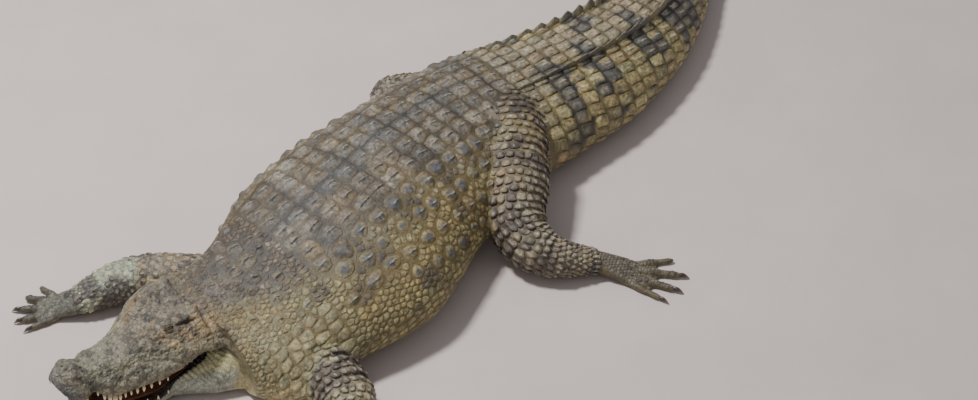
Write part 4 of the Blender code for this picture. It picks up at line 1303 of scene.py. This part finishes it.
def bodyScaleRows(rng):
    # columns: s, y, radius, crease, height, keel, kind
    rows, layout = [], scaleLayout
    start, pitch = layout["backStart"], layout["rowPitch"]
    back, flank, tail = layout["back"], layout["flank"], layout["tail"]

    def put(s, y, radius, crease, height, keel, kind, shake):
        s, y = s + rng.uniform(-1, 1) * shake, y + rng.uniform(-1, 1) * shake
        rows.append((s, y, radius, crease, height, keel, scaleKinds[kind]))

    def fill(side, sRange, span, grain, sizes, height, jitter):
        span = span if side > 0 else (-span[1], -span[0])
        for s, y in fillBetween(rng, large, sRange, span, grain, jitter):
            rows.append((s, y, rng.uniform(*sizes), 0.0020, height, 0.0, scaleKinds["small"]))

    for k in range(layout["rowCount"]):
        s = start + pitch * (k + 0.5)
        narrow = 0.86 + 0.14 * math.sin(math.pi * min(max((s - 0.8) / 1.3, 0), 1))
        for side in (-1, 1):
            for index, y in enumerate(layout["backColumns"]):
                height = back["height"] * rng.uniform(0.8, 1.25)
                keel = rng.uniform(*back["keel"]) - 0.0012 * (index == 0)
                put(s + 0.010 * (index == 2), side * y * narrow, back["radius"], back["crease"], height, keel,
                    "back", back["shake"])
            for index, y in enumerate(layout["flankColumns"]):
                if (s > 1.88 and index > 1) or (s < 0.98 and index > 2):
                    continue
                size = rng.uniform(*flank["radius"]) * (1 - 0.07 * index)
                keel = flank["keel"] if rng.random() < flank["keeled"] else 0.0
                put(s + pitch * 0.5 * (index % 2), side * y * narrow, size, flank["crease"],
                    flank["height"] * size / 0.030, keel, "flank", flank["shake"])
    for s, y, size in layout["shields"]:
        for side in (-1, 1):
            put(s, side * y, size, 0.0035, 0.0066 * size / 0.030 + 0.001, 0.0085 if size > 0.025 else 0.005,
                "nape", 0.004 + 0.005 * (y > 0.12))
    large = np.array(rows)
    for side in (-1, 1):
        fill(side, *layout["flankGrain"])
        length, width, plate = layout["lowerFlank"]
        for k, s in enumerate(np.arange(start, 2.0, length)):
            for y in np.arange(0.560 + width * 0.22 * (k % 2), 0.86, width):
                put(s, side * y, *plate)
        # neck: beads above, oblong plates lower down
        fill(side, *layout["neckGrain"])
        fill(side, *layout["jawGrain"])
        length, width, plate = layout["neckPlates"]
        for k, y in enumerate(np.arange(0.352, 0.70, width)):
            for s in np.arange(0.590 + length * 0.16 * (k % 2), start, length):
                put(s, side * y, *plate)
    # rings of the tail
    starts = whorlStarts()
    for low, high in zip(starts, starts[1:]):
        s, length = (low + high) / 2, high - low
        for side in (-1, 1):
            girth = float(halfGirth(s, side))
            count = int(np.clip(round(girth / (tail["width"] + 0.022 * girth / 0.8)), 3, 15))
            for j in range(count):
                upper = j < tail["keeledRows"] and s < tail["keeledTo"]
                keel = tail["keel"] if upper and rng.random() < tail["keeled"] else 0.0
                height = tail["height"] * min(1, length / 0.06) * rng.uniform(0.8, 1.2)
                put(s, side * girth * (j + 0.5) / count, max(length, girth / count) * 0.5, tail["crease"],
                    height, keel, "tail", tail["shake"])
    return np.array(rows)


# pieces of the trunk's coat: kind, side (0 for both), span along the back, style, rays, sharpness, reach
coatPieces = {
    "scales_back": ("back", 0, (0.0, 4.0), "plate", 48, 12.0, 0.010),
    "scales_flank_left": ("flank", -1, (0.0, 4.0), "boss", 36, 6.0, 0.010),
    "scales_flank_right": ("flank", 1, (0.0, 4.0), "boss", 36, 6.0, 0.010),
    "scales_small_left": ("small", -1, (0.858, 4.0), "bead", 12, 8.0, 0.010),
    "scales_small_right": ("small", 1, (0.858, 4.0), "bead", 12, 8.0, 0.010),
    "scales_nape": ("nape", 0, (0.0, 4.0), "plate", 40, 6.0, 0.010),
    "scales_neck": ("small", 0, (0.0, 0.858), "bead", 16, 14.0, 0.022),
    "scales_tail_front": ("tail", 0, (0.0, 2.66), "block", 28, 12.0, 0.010),
    "scales_tail_rear": ("tail", 0, (2.66, 4.0), "block", 20, 12.0, 0.010),
}


def layBodyScales(surface):
    rows = bodyScaleRows(np.random.default_rng(body["seed"]))
    s, y, kind = rows[:, 0], rows[:, 1], rows[:, 6]
    for name, (wanted, side, span, style, rays, sharp, reach) in coatPieces.items():
        chosen = (kind == scaleKinds[wanted]) & (y * side >= 0) & (s >= span[0]) & (s < span[1])
        buildScales(layScales(name, surface, rows, chosen, lambda a, b: bodyMap(a, b)[0], style, rays,
                              reachMax=reach, sharp=sharp, longest=1.5))


legScales = {
    "unroll": 0.08,                        # radius that every limb is unrolled at
    "pitch": (0.0190, 0.0150),             # length of a row on a thin limb, and what a thick one adds
    "thinThick": (0.05, 0.10),
    "shake": 0.0034,
}


def layLimbScales(surface):
    unroll = legScales["unroll"]
    around = 2 * math.pi * unroll
    thin, added = legScales["pitch"]
    for number, limb in enumerate(limbs):
        rng = np.random.default_rng(body["seed"] + 20 + number)
        share = np.linspace(0, 1, 120)
        centre, across, up, wide, tall, axis = limbFrame(limb, share)
        length = np.concatenate(([0], np.cumsum(np.linalg.norm(np.diff(centre, axis=0), axis=1))))
        rows, station, turn = [], 0.0, 0
        while station < length[-1] - 0.004:
            r = float(np.interp(station, length, (wide + tall) / 2))
            pitch = thin + added * ramp(*legScales["thinThick"], r)
            count = max(int(round(2 * math.pi * r / (pitch * 0.98))), 8)
            for j in range(count):
                w = (around * (j + 0.5 * (turn % 2)) / count + around / 2) % around - around / 2
                keel = 0.0030 if rng.random() < 0.55 else 0.0
                place = (station + rng.uniform(-1, 1) * 0.13 * pitch,
                         w + rng.uniform(-1, 1) * legScales["shake"])
                size = 0.55 * max(pitch, around / count) * rng.uniform(0.9, 1.12)
                height = limbs[limb]["relief"] * pitch * rng.uniform(0.7, 1.3)
                rows.append((*place, size, 0.0020, height, keel))
            station += pitch * 0.92
            turn += 1
        rows = np.array(rows)

        def mapTo(l, w):
            return limbSurface(limb, np.interp(l, length, share), w / unroll)

        everyOne = np.ones(len(rows), bool)
        laid = layScales("scales_leg_" + limb, surface, rows, everyOne, mapTo, "leg", 16, around, 0.009, 10.0)
        buildScales(laid, number)
        layFootScales(surface, limb, rng, number)


def layFootScales(surface, limb, rng, number):
    # small plates over the back of the hand or foot and its digits, laid from above
    lines, forward, side, centre = digitLines(limb)
    pitch = 0.0125
    grid = np.stack(np.meshgrid(np.arange(-0.06, 0.32, pitch * 0.87), np.arange(-0.15, 0.15, pitch)), axis=-1)
    grid[:, :, 1] += (np.arange(grid.shape[1]) % 2)[None] * pitch / 2
    grid = grid.reshape(-1, 2)
    grid = grid + rng.uniform(-0.0012, 0.0012, grid.shape)

    def onGround(a, b):
        return centre[None, :2] + a[:, None] * forward[:2] + b[:, None] * side[:2]

    grid = grid[footDistance(onGround(grid[:, 0], grid[:, 1]), limb) < -0.0035]
    rows = np.column_stack((grid, np.tile((0.0068, 0.0016, 0.0016, 0.0), (len(grid), 1))))

    def mapTo(a, b):
        flat = onGround(a, b)
        out = np.column_stack((flat, np.full(len(flat), -1.0)))
        for k, (x, y) in enumerate(flat.tolist()):
            hit = surface.tree.ray_cast((x, y, 0.15), (0, 0, -1))[0]
            if hit is not None and hit[2] > 0.006:
                out[k, 2] = hit[2]
        return out

    name = "scales_%s_%s" % (feet[limbs[limb]["foot"]]["node"], limb)
    everyOne = np.ones(len(rows), bool)
    laid = layScales(name, surface, rows, everyOne, mapTo, "bead", 10, reachMax=0.004, longest=1.2)
    buildScales(laid, number)


crest = {
    "bladeSteps": 9, "bladeTurns": 18, "thickness": 0.024,
    "rooted": 0.006,           # how deep a blade sits in the hide
    "double": {"tall": 0.92, "flank": "#7d7767", "tip": "#6a655a"},
    "single": {"tall": 1.0, "flank": "#77715f", "tip": "#b0a586"},
}


def crestBlades(kind, whorls):
    # upright teeth along the tail, leaning back, one or a pair to each row
    name, look = "crest_" + kind, crest[kind]
    starts = whorlStarts()
    turns, steps = fullTurn(crest["bladeTurns"]), np.linspace(0, 1, crest["bladeSteps"])
    shell, spots = Shell(), []
    for k in whorls:
        low, length = starts[k], starts[k + 1] - starts[k]
        peak = low + length * 0.72
        tall = float(rowCurve(crestRows, peak)[0]) * look["tall"] + 0.004
        for side in ((-1, 1) if kind == "double" else (0,)):
            aside = side * float(rowCurve(bodyRows, peak)[0]) * 0.46
            rings = []
            for share in steps:
                reach = length * 0.56 * (1 - share ** 2.4) + 0.0030
                thick = crest["thickness"] * (1 - 0.72 * share ** 0.8) * (0.6 + 0.4 * tall / 0.05) * 0.5
                s = low + length * (0.50 + 0.27 * share ** 1.1) + reach * np.cos(turns)
                lens = np.sin(turns) * (1 - 0.5 * np.abs(np.cos(turns)) ** 3)
                y = aside * (1 + 0.05 * share) + thick * lens
                point, normal = bodyMap(s, y)
                up = unit(normal * 0.4 + np.array((0, 0, 1.0)))
                rings.append(point + up * (-crest["rooted"] + (tall + crest["rooted"]) * share))
            shell.tube(rings)
            spots.append((peak, aside))
    data = shell.mesh(name)
    share = np.tile(np.repeat(steps, len(turns)), len(spots))
    colour = layered(paint(meshArrays(data)[0])[0], (look["flank"], 0.60 * ramp(0.05, 0.5, share)),
                     (look["tip"], 0.40 * ramp(0.72, 1.0, share)))
    setColour(data, "hideColour", colour)
    setValue(data, "keel", ramp(0.8, 1, share))
    setValue(data, "rim", np.zeros(len(share)))
    loops = np.empty(len(data.loops), int)
    data.loops.foreach_get("vertex_index", loops)
    around = np.stack((np.cos(turns), np.sin(turns)), axis=1) * (0.0015 * (1 - 0.7 * steps))[:, None, None]
    addPatchMap(data, np.array(spots), around.reshape(1, -1, 2), loops)
    finishPiece(addObject(name, data), hornScale, "hide")
    print(name, len(spots), "blades")


def addNode(tree, kind, settings=None, links=None, output=0):
    # a node with its own settings, its sockets set to values or linked, and the output that is used
    node = tree.nodes.new(kind)
    for key, value in (settings or {}).items():
        setattr(node, key, value)
    for key, value in (links or {}).items():
        if isinstance(value, bpy.types.NodeSocket):
            tree.links.new(value, node.inputs[key])
        else:
            node.inputs[key].default_value = value
    return node.outputs[output]


def newMaterial(name):
    # the material, its tree and shader, and the place on the model that patterns are laid by
    material = bpy.data.materials.new(name)
    material.use_nodes = True
    tree = material.node_tree
    return material, tree, tree.nodes["Principled BSDF"], addNode(tree, "ShaderNodeTexCoord", output="Object")


def paintShader(tree, shader, paint, shade, height=None, strength=1.0, distance=0.001):
    # colour made darker or lighter by the shade, and the small relief of the surface
    tinted = addNode(tree, "ShaderNodeMix", {"data_type": "RGBA", "blend_type": "MULTIPLY"},
                     {"Factor": 1.0, 6: paint, 7: shade}, 2)
    tree.links.new(tinted, shader.inputs["Base Color"])
    if height is not None:
        bump = addNode(tree, "ShaderNodeBump", None,
                       {"Height": height, "Strength": strength, "Distance": distance})
        tree.links.new(bump, shader.inputs["Normal"])


hideFinish = {
    "poreMm": 2.2,          # pits of the skin between scales
    "beadMm": 6.5,          # beaded grain of the loose skin
    "crackMm": 15.0,        # cracked plates of the bony head
    "roughness": 0.56,
    "moistRoughness": 0.30,     # lining of the mouth
}


def makeHideMaterial():
    # living crocodile hide: dry leathery skin, beaded in the folds and cracked over the skull
    material, tree, shader, place = newMaterial("crocodileHide")
    colour = addNode(tree, "ShaderNodeAttribute", {"attribute_name": "hideColour"})
    lining, skull = (addNode(tree, "ShaderNodeAttribute", {"attribute_name": name}, None, "Fac")
                     for name in ("lining", "skull"))
    warp = addNode(tree, "ShaderNodeTexNoise", None, {"Vector": place, "Scale": 60.0, "Detail": 3.0}, "Color")
    bent = addNode(tree, "ShaderNodeMix", {"data_type": "VECTOR"}, {"Factor": 0.012, 4: place, 5: warp}, 1)
    beads = addNode(tree, "ShaderNodeTexVoronoi", {"feature": "F1"},
                    {"Vector": place, "Scale": 1000 / hideFinish["beadMm"]}, "Distance")
    cracks = addNode(tree, "ShaderNodeTexVoronoi", {"feature": "DISTANCE_TO_EDGE"},
                     {"Vector": bent, "Scale": 1000 / hideFinish["crackMm"]}, "Distance")
    pores = addNode(tree, "ShaderNodeTexNoise", None, {
        "Vector": place, "Scale": 1000 / hideFinish["poreMm"] / 2, "Detail": 4.0, "Roughness": 0.65})
    crackLine = addNode(tree, "ShaderNodeMapRange", None, {"Value": cracks, "From Min": 0, "From Max": 0.10})
    crackOnSkull = addNode(tree, "ShaderNodeMix", {"data_type": "FLOAT"},
                           {"Factor": skull, 2: 1.0, 3: crackLine})
    beadLine = addNode(tree, "ShaderNodeMapRange", None, {
        "Value": beads, "From Min": 0.25, "From Max": 0.75, "To Min": 1.0, "To Max": 0.0})
    beadOffSkull = addNode(tree, "ShaderNodeMix", {"data_type": "FLOAT"},
                           {"Factor": skull, 2: beadLine, 3: 1.0})
    crackDark, beadDark = (
        addNode(tree, "ShaderNodeMapRange", None, {"Value": line, "To Min": low, "To Max": high})
        for line, low, high in ((crackOnSkull, 0.58, 1.0), (beadOffSkull, 0.72, 1.05)))
    dark = addNode(tree, "ShaderNodeMath", {"operation": "MULTIPLY"}, {0: crackDark, 1: beadDark})
    mottle = addNode(tree, "ShaderNodeMapRange", None, {
        "Value": pores, "From Min": 0.3, "From Max": 0.7, "To Min": 0.70, "To Max": 1.28})
    shade = addNode(tree, "ShaderNodeMath", {"operation": "MULTIPLY"}, {0: dark, 1: mottle})
    rough = addNode(tree, "ShaderNodeMapRange", None, {
        "Value": lining, "To Min": hideFinish["roughness"], "To Max": hideFinish["moistRoughness"]})
    tree.links.new(rough, shader.inputs["Roughness"])
    lines = addNode(tree, "ShaderNodeMath", {"operation": "ADD"}, {0: crackOnSkull, 1: beadOffSkull})
    height = addNode(tree, "ShaderNodeMath", {"operation": "ADD"}, {0: lines, 1: pores})
    paintShader(tree, shader, colour, shade, height, 0.7, 0.0012)
    return material


hornFinish = {
    "striaMm": 1.8,             # fine wrinkles of the horn, drawn three times coarser to show
    "stainsPerMetre": 85.0,     # stains some 12 mm across
    "roughLow": 0.36, "roughHigh": 0.66,
}


def makeHornMaterial():
    # keratin scales: finely wrinkled horn, duller in the dips and polished on the keels
    material, tree, shader, place = newMaterial("keratinScales")
    colour = addNode(tree, "ShaderNodeAttribute", {"attribute_name": "hideColour"})
    keel, rim = (addNode(tree, "ShaderNodeAttribute", {"attribute_name": name}, None, "Fac")
                 for name in ("keel", "rim"))
    wrinkle = addNode(tree, "ShaderNodeTexNoise", None, {
        "Vector": place, "Scale": 1000 / hornFinish["striaMm"] / 3,
        "Detail": 5.0, "Roughness": 0.7, "Distortion": 1.2})
    stain = addNode(tree, "ShaderNodeTexNoise", None, {
        "Vector": place, "Scale": hornFinish["stainsPerMetre"], "Detail": 4.0, "Roughness": 0.6})
    wrinkled = addNode(tree, "ShaderNodeMapRange", None, {
        "Value": wrinkle, "From Min": 0.34, "From Max": 0.66, "To Min": 0.58, "To Max": 1.42})
    stained = addNode(tree, "ShaderNodeMapRange", None, {
        "Value": stain, "From Min": 0.34, "From Max": 0.66, "To Min": 0.60, "To Max": 1.40})
    shade = addNode(tree, "ShaderNodeMath", {"operation": "MULTIPLY"}, {0: wrinkled, 1: stained})
    worn = addNode(tree, "ShaderNodeMapRange", None, {
        "Value": stain, "From Min": 0.3, "From Max": 0.7,
        "To Min": hornFinish["roughLow"], "To Max": hornFinish["roughHigh"]})
    gloss = addNode(tree, "ShaderNodeMath", {"operation": "MULTIPLY_ADD"}, {0: keel, 1: -0.22, 2: worn})
    dull = addNode(tree, "ShaderNodeMath", {"operation": "MULTIPLY_ADD", "use_clamp": True}, {
        0: rim, 1: 0.08, 2: gloss})
    tree.links.new(dull, shader.inputs["Roughness"])
    paintShader(tree, shader, colour, shade, wrinkle, 1.0, 0.0026)
    return material


def makeVertexMaterial(name, roughness, coat, bumpMm):
    # finish whose colour is painted on the piece itself
    material, tree, shader, place = newMaterial(name)
    colour = addNode(tree, "ShaderNodeAttribute", {"attribute_name": "hideColour"})
    grain = addNode(tree, "ShaderNodeTexNoise", None,
                    {"Vector": place, "Scale": 1000 / bumpMm / 3, "Detail": 4.0})
    shade = addNode(tree, "ShaderNodeMapRange", None, {
        "Value": grain, "From Min": 0.3, "From Max": 0.7, "To Min": 0.86, "To Max": 1.12})
    shader.inputs["Roughness"].default_value = roughness
    shader.inputs["Coat Weight"].default_value = coat
    paintShader(tree, shader, colour, shade, grain, 0.4, 0.0004)
    return material


def colourMix(low, high, share):
    return blend(evenColour(low, len(share)), high, share)


def makeTeeth(name, upper):
    # ivory cones set in the margin of the jaw, curved slightly inward, stained at the root
    shell = Shell()
    turns, steps = fullTurn(14), np.linspace(0, 1, 9)
    down = -1 if upper else 1
    table = head["upperTeeth" if upper else "lowerTeeth"]
    for u, height in table:
        radius = height * 0.27
        row = rowCurve(headRows if upper else jawRows, u)
        half, level = float(row[0]), float(row[4 if upper else 1])

        def place(a, z):
            return headPoint(u, a, z) if upper else fromSpine(np.array(u), a - headLean(u), z)

        for hand in (-1, 1):
            aside = hand * (half - radius - 0.003)
            root = place(aside, level - down * 0.008)
            tip = place(aside + hand * height * 0.14, level + down * height)
            axis = unit(tip - root)
            across = unit(np.cross(axis, np.array((1.0, 0.2, 0.0))))
            circle = across * np.cos(turns)[:, None] + np.cross(axis, across) * np.sin(turns)[:, None]
            outward = unit(place(hand, level) - place(0.0, level))
            rings = []
            for step in steps:
                swell = math.sin(step * math.pi)
                size = radius * (1 - step ** 2.2) ** 0.75 * (1.0 + 0.12 * swell) + radius * 0.04
                rings.append(root + (tip - root) * step + outward * height * 0.10 * swell + circle * size)
            shell.tube(rings)
    item = addObject(name, shell.mesh(name))
    share = np.tile(np.repeat(steps, len(turns)), len(table) * 2)
    setColour(item.data, "hideColour", colourMix("#b49c6a", "#efe9d6", ramp(0.15, 0.55, share)))
    finishPiece(item, toothIvory, "claw")


def makeEye(hand):
    # glossy ball with an olive-gold iris and an upright slit of a pupil
    centre, forward, outward, up = eyeFrame(hand)
    p, q = np.meshgrid(np.linspace(0.002, math.pi - 0.002, 40), fullTurn(64), indexing="ij")
    swell = 1 + 0.03 * np.exp(-(p / 0.5) ** 2)
    local = np.stack((np.sin(p) * np.cos(q), np.sin(p) * np.sin(q), np.cos(p)), axis=-1) * swell[:, :, None]
    shell = Shell()
    shell.tube(centre + head["eyeRadius"] * (local @ np.stack((forward, up, outward))))
    side = "left" if hand < 0 else "right"
    item = addObject("eye_%s_ball" % side, shell.mesh("eye_%s_ball" % side))
    a, b, p = local[..., 0].ravel(), local[..., 1].ravel(), p.ravel()
    streak = noise(np.stack((np.arctan2(b, a) * 9, p * 3, p * 0), axis=1), 1.0, 41)
    iris = colourMix("#3a3214", "#7d6b34", streak * 0.7 + 0.3 * ramp(0.1, 0.7, p))
    pupil = 1 - ramp(0.75, 1.15, np.hypot(a / 0.075, b / 0.62))
    setColour(item.data, "hideColour", layered(iris, ("#0a0908", pupil), ("#2c2418", ramp(0.78, 0.95, p))))
    finishPiece(item, wetEye, "eye", "eye_" + side)


def makeClaws():
    # curved claws of dark horn on the three inner digits
    turns, steps = fullTurn(18), np.linspace(-0.30, 1, 14)
    for limb, spec in limbs.items():
        style = feet[spec["foot"]]
        side = "left" if "Left" in limb else "right"
        for index, (start, out, reach, radius) in enumerate(digitLines(limb)[0][:3]):
            cross = np.array((-out[1], out[0], 0.0))
            rings = []
            for step in steps:
                t = max(step, 0)
                size = radius * (0.50 * (1 - t ** 1.7) + 0.045) * (1.0 if step > -0.1 else 0.9)
                level = radius * (0.86 + 0.16 * math.sin(t * math.pi) - 0.70 * t ** 1.6)
                ring = start + out * (reach + style["claw"] * step)
                ring = ring + cross * (size * 0.80 * np.cos(turns))[:, None]
                ring[:, 2] = np.maximum(level + size * np.sin(turns), 0.0006)
                rings.append(ring)
            shell = Shell()
            shell.tube(rings)
            node = "claw_%s_%s_%d" % (style["node"], side, index + 1)
            item = addObject(node + "_horn", shell.mesh(node + "_horn"))
            share = np.repeat(np.maximum(steps, 0), len(turns))
            setColour(item.data, "hideColour", colourMix("#3a3128", "#8a7a5c", ramp(0.3, 1.0, share)))
            finishPiece(item, clawHorn, "claw", node)


tongue = {"back": 0.44, "front": 0.12, "thick": 0.016, "grooveDeep": 0.0035, "ripplePitch": 0.013}


def makeTongue():
    # broad flat tongue fixed along the floor of the mouth
    turns = fullTurn(40)
    onTop = np.sin(turns)
    rings = []
    for u in np.linspace(tongue["front"], tongue["back"], 44):
        half, rim, width, floor = (float(value) for value in rowCurve(jawRows, u))
        t = (u - tongue["front"]) / (tongue["back"] - tongue["front"])
        reach = (half - width) * 0.70 * (0.25 + 0.75 * math.sin(math.pi * min(t * 1.6 + 0.05, 1.0) / 2))
        a = reach * (1 - 0.7 * math.exp(-t / 0.03)) * power(np.cos(turns), 0.8)
        lift = tongue["thick"] * (0.3 + 0.7 * math.sin(math.pi * min(t * 1.2 + 0.1, 0.9)))
        z = floor + 0.0005 + lift * np.maximum(power(onTop, 0.7), -0.25)
        z -= tongue["grooveDeep"] * np.exp(-(a / 0.006) ** 2) * (onTop > 0) * ramp(0.1, 0.4, t)
        z += 0.0012 * np.sin(u * 2 * math.pi / tongue["ripplePitch"] + a * 60) * (onTop > 0.2)
        rings.append(fromSpine(np.full(len(turns), u), a - headLean(u), z))
    shell = Shell()
    shell.tube(rings)
    item = addObject("tongue_flesh", shell.mesh("tongue_flesh"))
    mottle = layeredNoise(meshArrays(item.data)[0], 0.03, 51)
    setColour(item.data, "hideColour", colourMix("#5c3019", "#85502f", mottle))
    finishPiece(item, wetFlesh, "mouth", "tongue")


studio = {
    "lamps": {"keyLight": ((-1.2, 2.2, 6.6), 610.0, 1.0), "fillLight": ((-4.5, -3.0, 4.0), 20.0, 4.0)},
    "aim": (0.3, 0, 0.1),
    "skyColour": "#e9edf2", "skyStrength": 0.44,
    "floorColour": "#c8bab5", "floorHalf": 14,
}


def makeStage():
    # plain pale floor of smooth concrete, with faint clouds in it
    half = studio["floorHalf"]
    floor = addObject("floor", bpy.data.meshes.new("floor"))
    corners = [(-half, -half, 0), (half, -half, 0), (half, half, 0), (-half, half, 0)]
    floor.data.from_pydata(corners, [], [(0, 1, 2, 3)])
    material, tree, shader, place = newMaterial("paleConcrete")
    cloud = addNode(tree, "ShaderNodeTexNoise", None,
                    {"Vector": place, "Scale": 2.2, "Detail": 6.0, "Roughness": 0.6})
    shade = addNode(tree, "ShaderNodeMapRange", None, {
        "Value": cloud, "From Min": 0.3, "From Max": 0.7, "To Min": 0.95, "To Max": 1.04})
    paintShader(tree, shader, toLinear(studio["floorColour"]), shade)
    shader.inputs["Roughness"].default_value = 0.85
    floor.data.materials.append(material)
    for name, (place, energy, size) in studio["lamps"].items():
        lamp = bpy.data.lights.new(name, "AREA")
        lamp.energy, lamp.size = energy, size
        item = addObject(name, lamp)
        item.location = place
        item.rotation_euler = (Vector(studio["aim"]) - Vector(place)).to_track_quat("-Z", "Y").to_euler()
    world = bpy.data.worlds.new("studioWorld")
    bpy.context.scene.world = world
    world.use_nodes = True
    sky = world.node_tree.nodes["Background"]
    sky.inputs["Color"].default_value = toLinear(studio["skyColour"])
    sky.inputs["Strength"].default_value = studio["skyStrength"]


view = {"place": (-3.7263, -3.6489, 4.8), "tilt": 48.0, "turn": -50.0, "halfAngle": 14.0}


def makeCamera():
    lens = bpy.data.cameras.new("view")
    lens.sensor_width = 36.0
    lens.lens = 18 / math.tan(math.radians(view["halfAngle"]))
    camera = addObject("view", lens)
    camera.location = view["place"]
    camera.rotation_euler = (math.radians(view["tilt"]), 0, math.radians(view["turn"]))
    bpy.context.scene.camera = camera


makeStage()
makeCamera()
crocodileHide = makeHideMaterial()
hornScale = makeHornMaterial()
toothIvory = makeVertexMaterial("toothIvory", 0.28, 0.3, 1.5)     # enamel, smooth and faintly stained
clawHorn = makeVertexMaterial("clawHorn", 0.36, 0.1, 2.0)         # dark keratin, scuffed at the tip
wetEye = makeVertexMaterial("wetEye", 0.06, 1.0, 1.0)             # wet cornea, sharp highlights
wetFlesh = makeVertexMaterial("wetFlesh", 0.32, 0.3, 3.0)         # moist mouth skin
print("stage and finishes ready")

hide = makeHide()
paintHide(hide)
hide.data.materials.append(crocodileHide)
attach(hide, "root")
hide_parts("head", "lower_jaw", "neck", "chest", "belly", "hips",
            *["tail_%d" % k for k in range(1, 7)],
            *[name + side for name in ("upper_arm", "forearm", "hand", "thigh", "shank", "foot")
              for side in ("_left", "_right")])
print("hide painted")

hideSurface = HideSurface(hide)
layBodyScales(hideSurface)
layLimbScales(hideSurface)
doubles = body["doubleWhorls"]
crestBlades("double", range(doubles))
crestBlades("single", range(doubles, doubles + body["singleWhorls"]))
makeTeeth("teeth_upper", True)
makeTeeth("teeth_lower", False)
makeEye(-1)
makeEye(1)
makeClaws()
makeTongue()
print("teeth, eyes, claws and tongue ready")
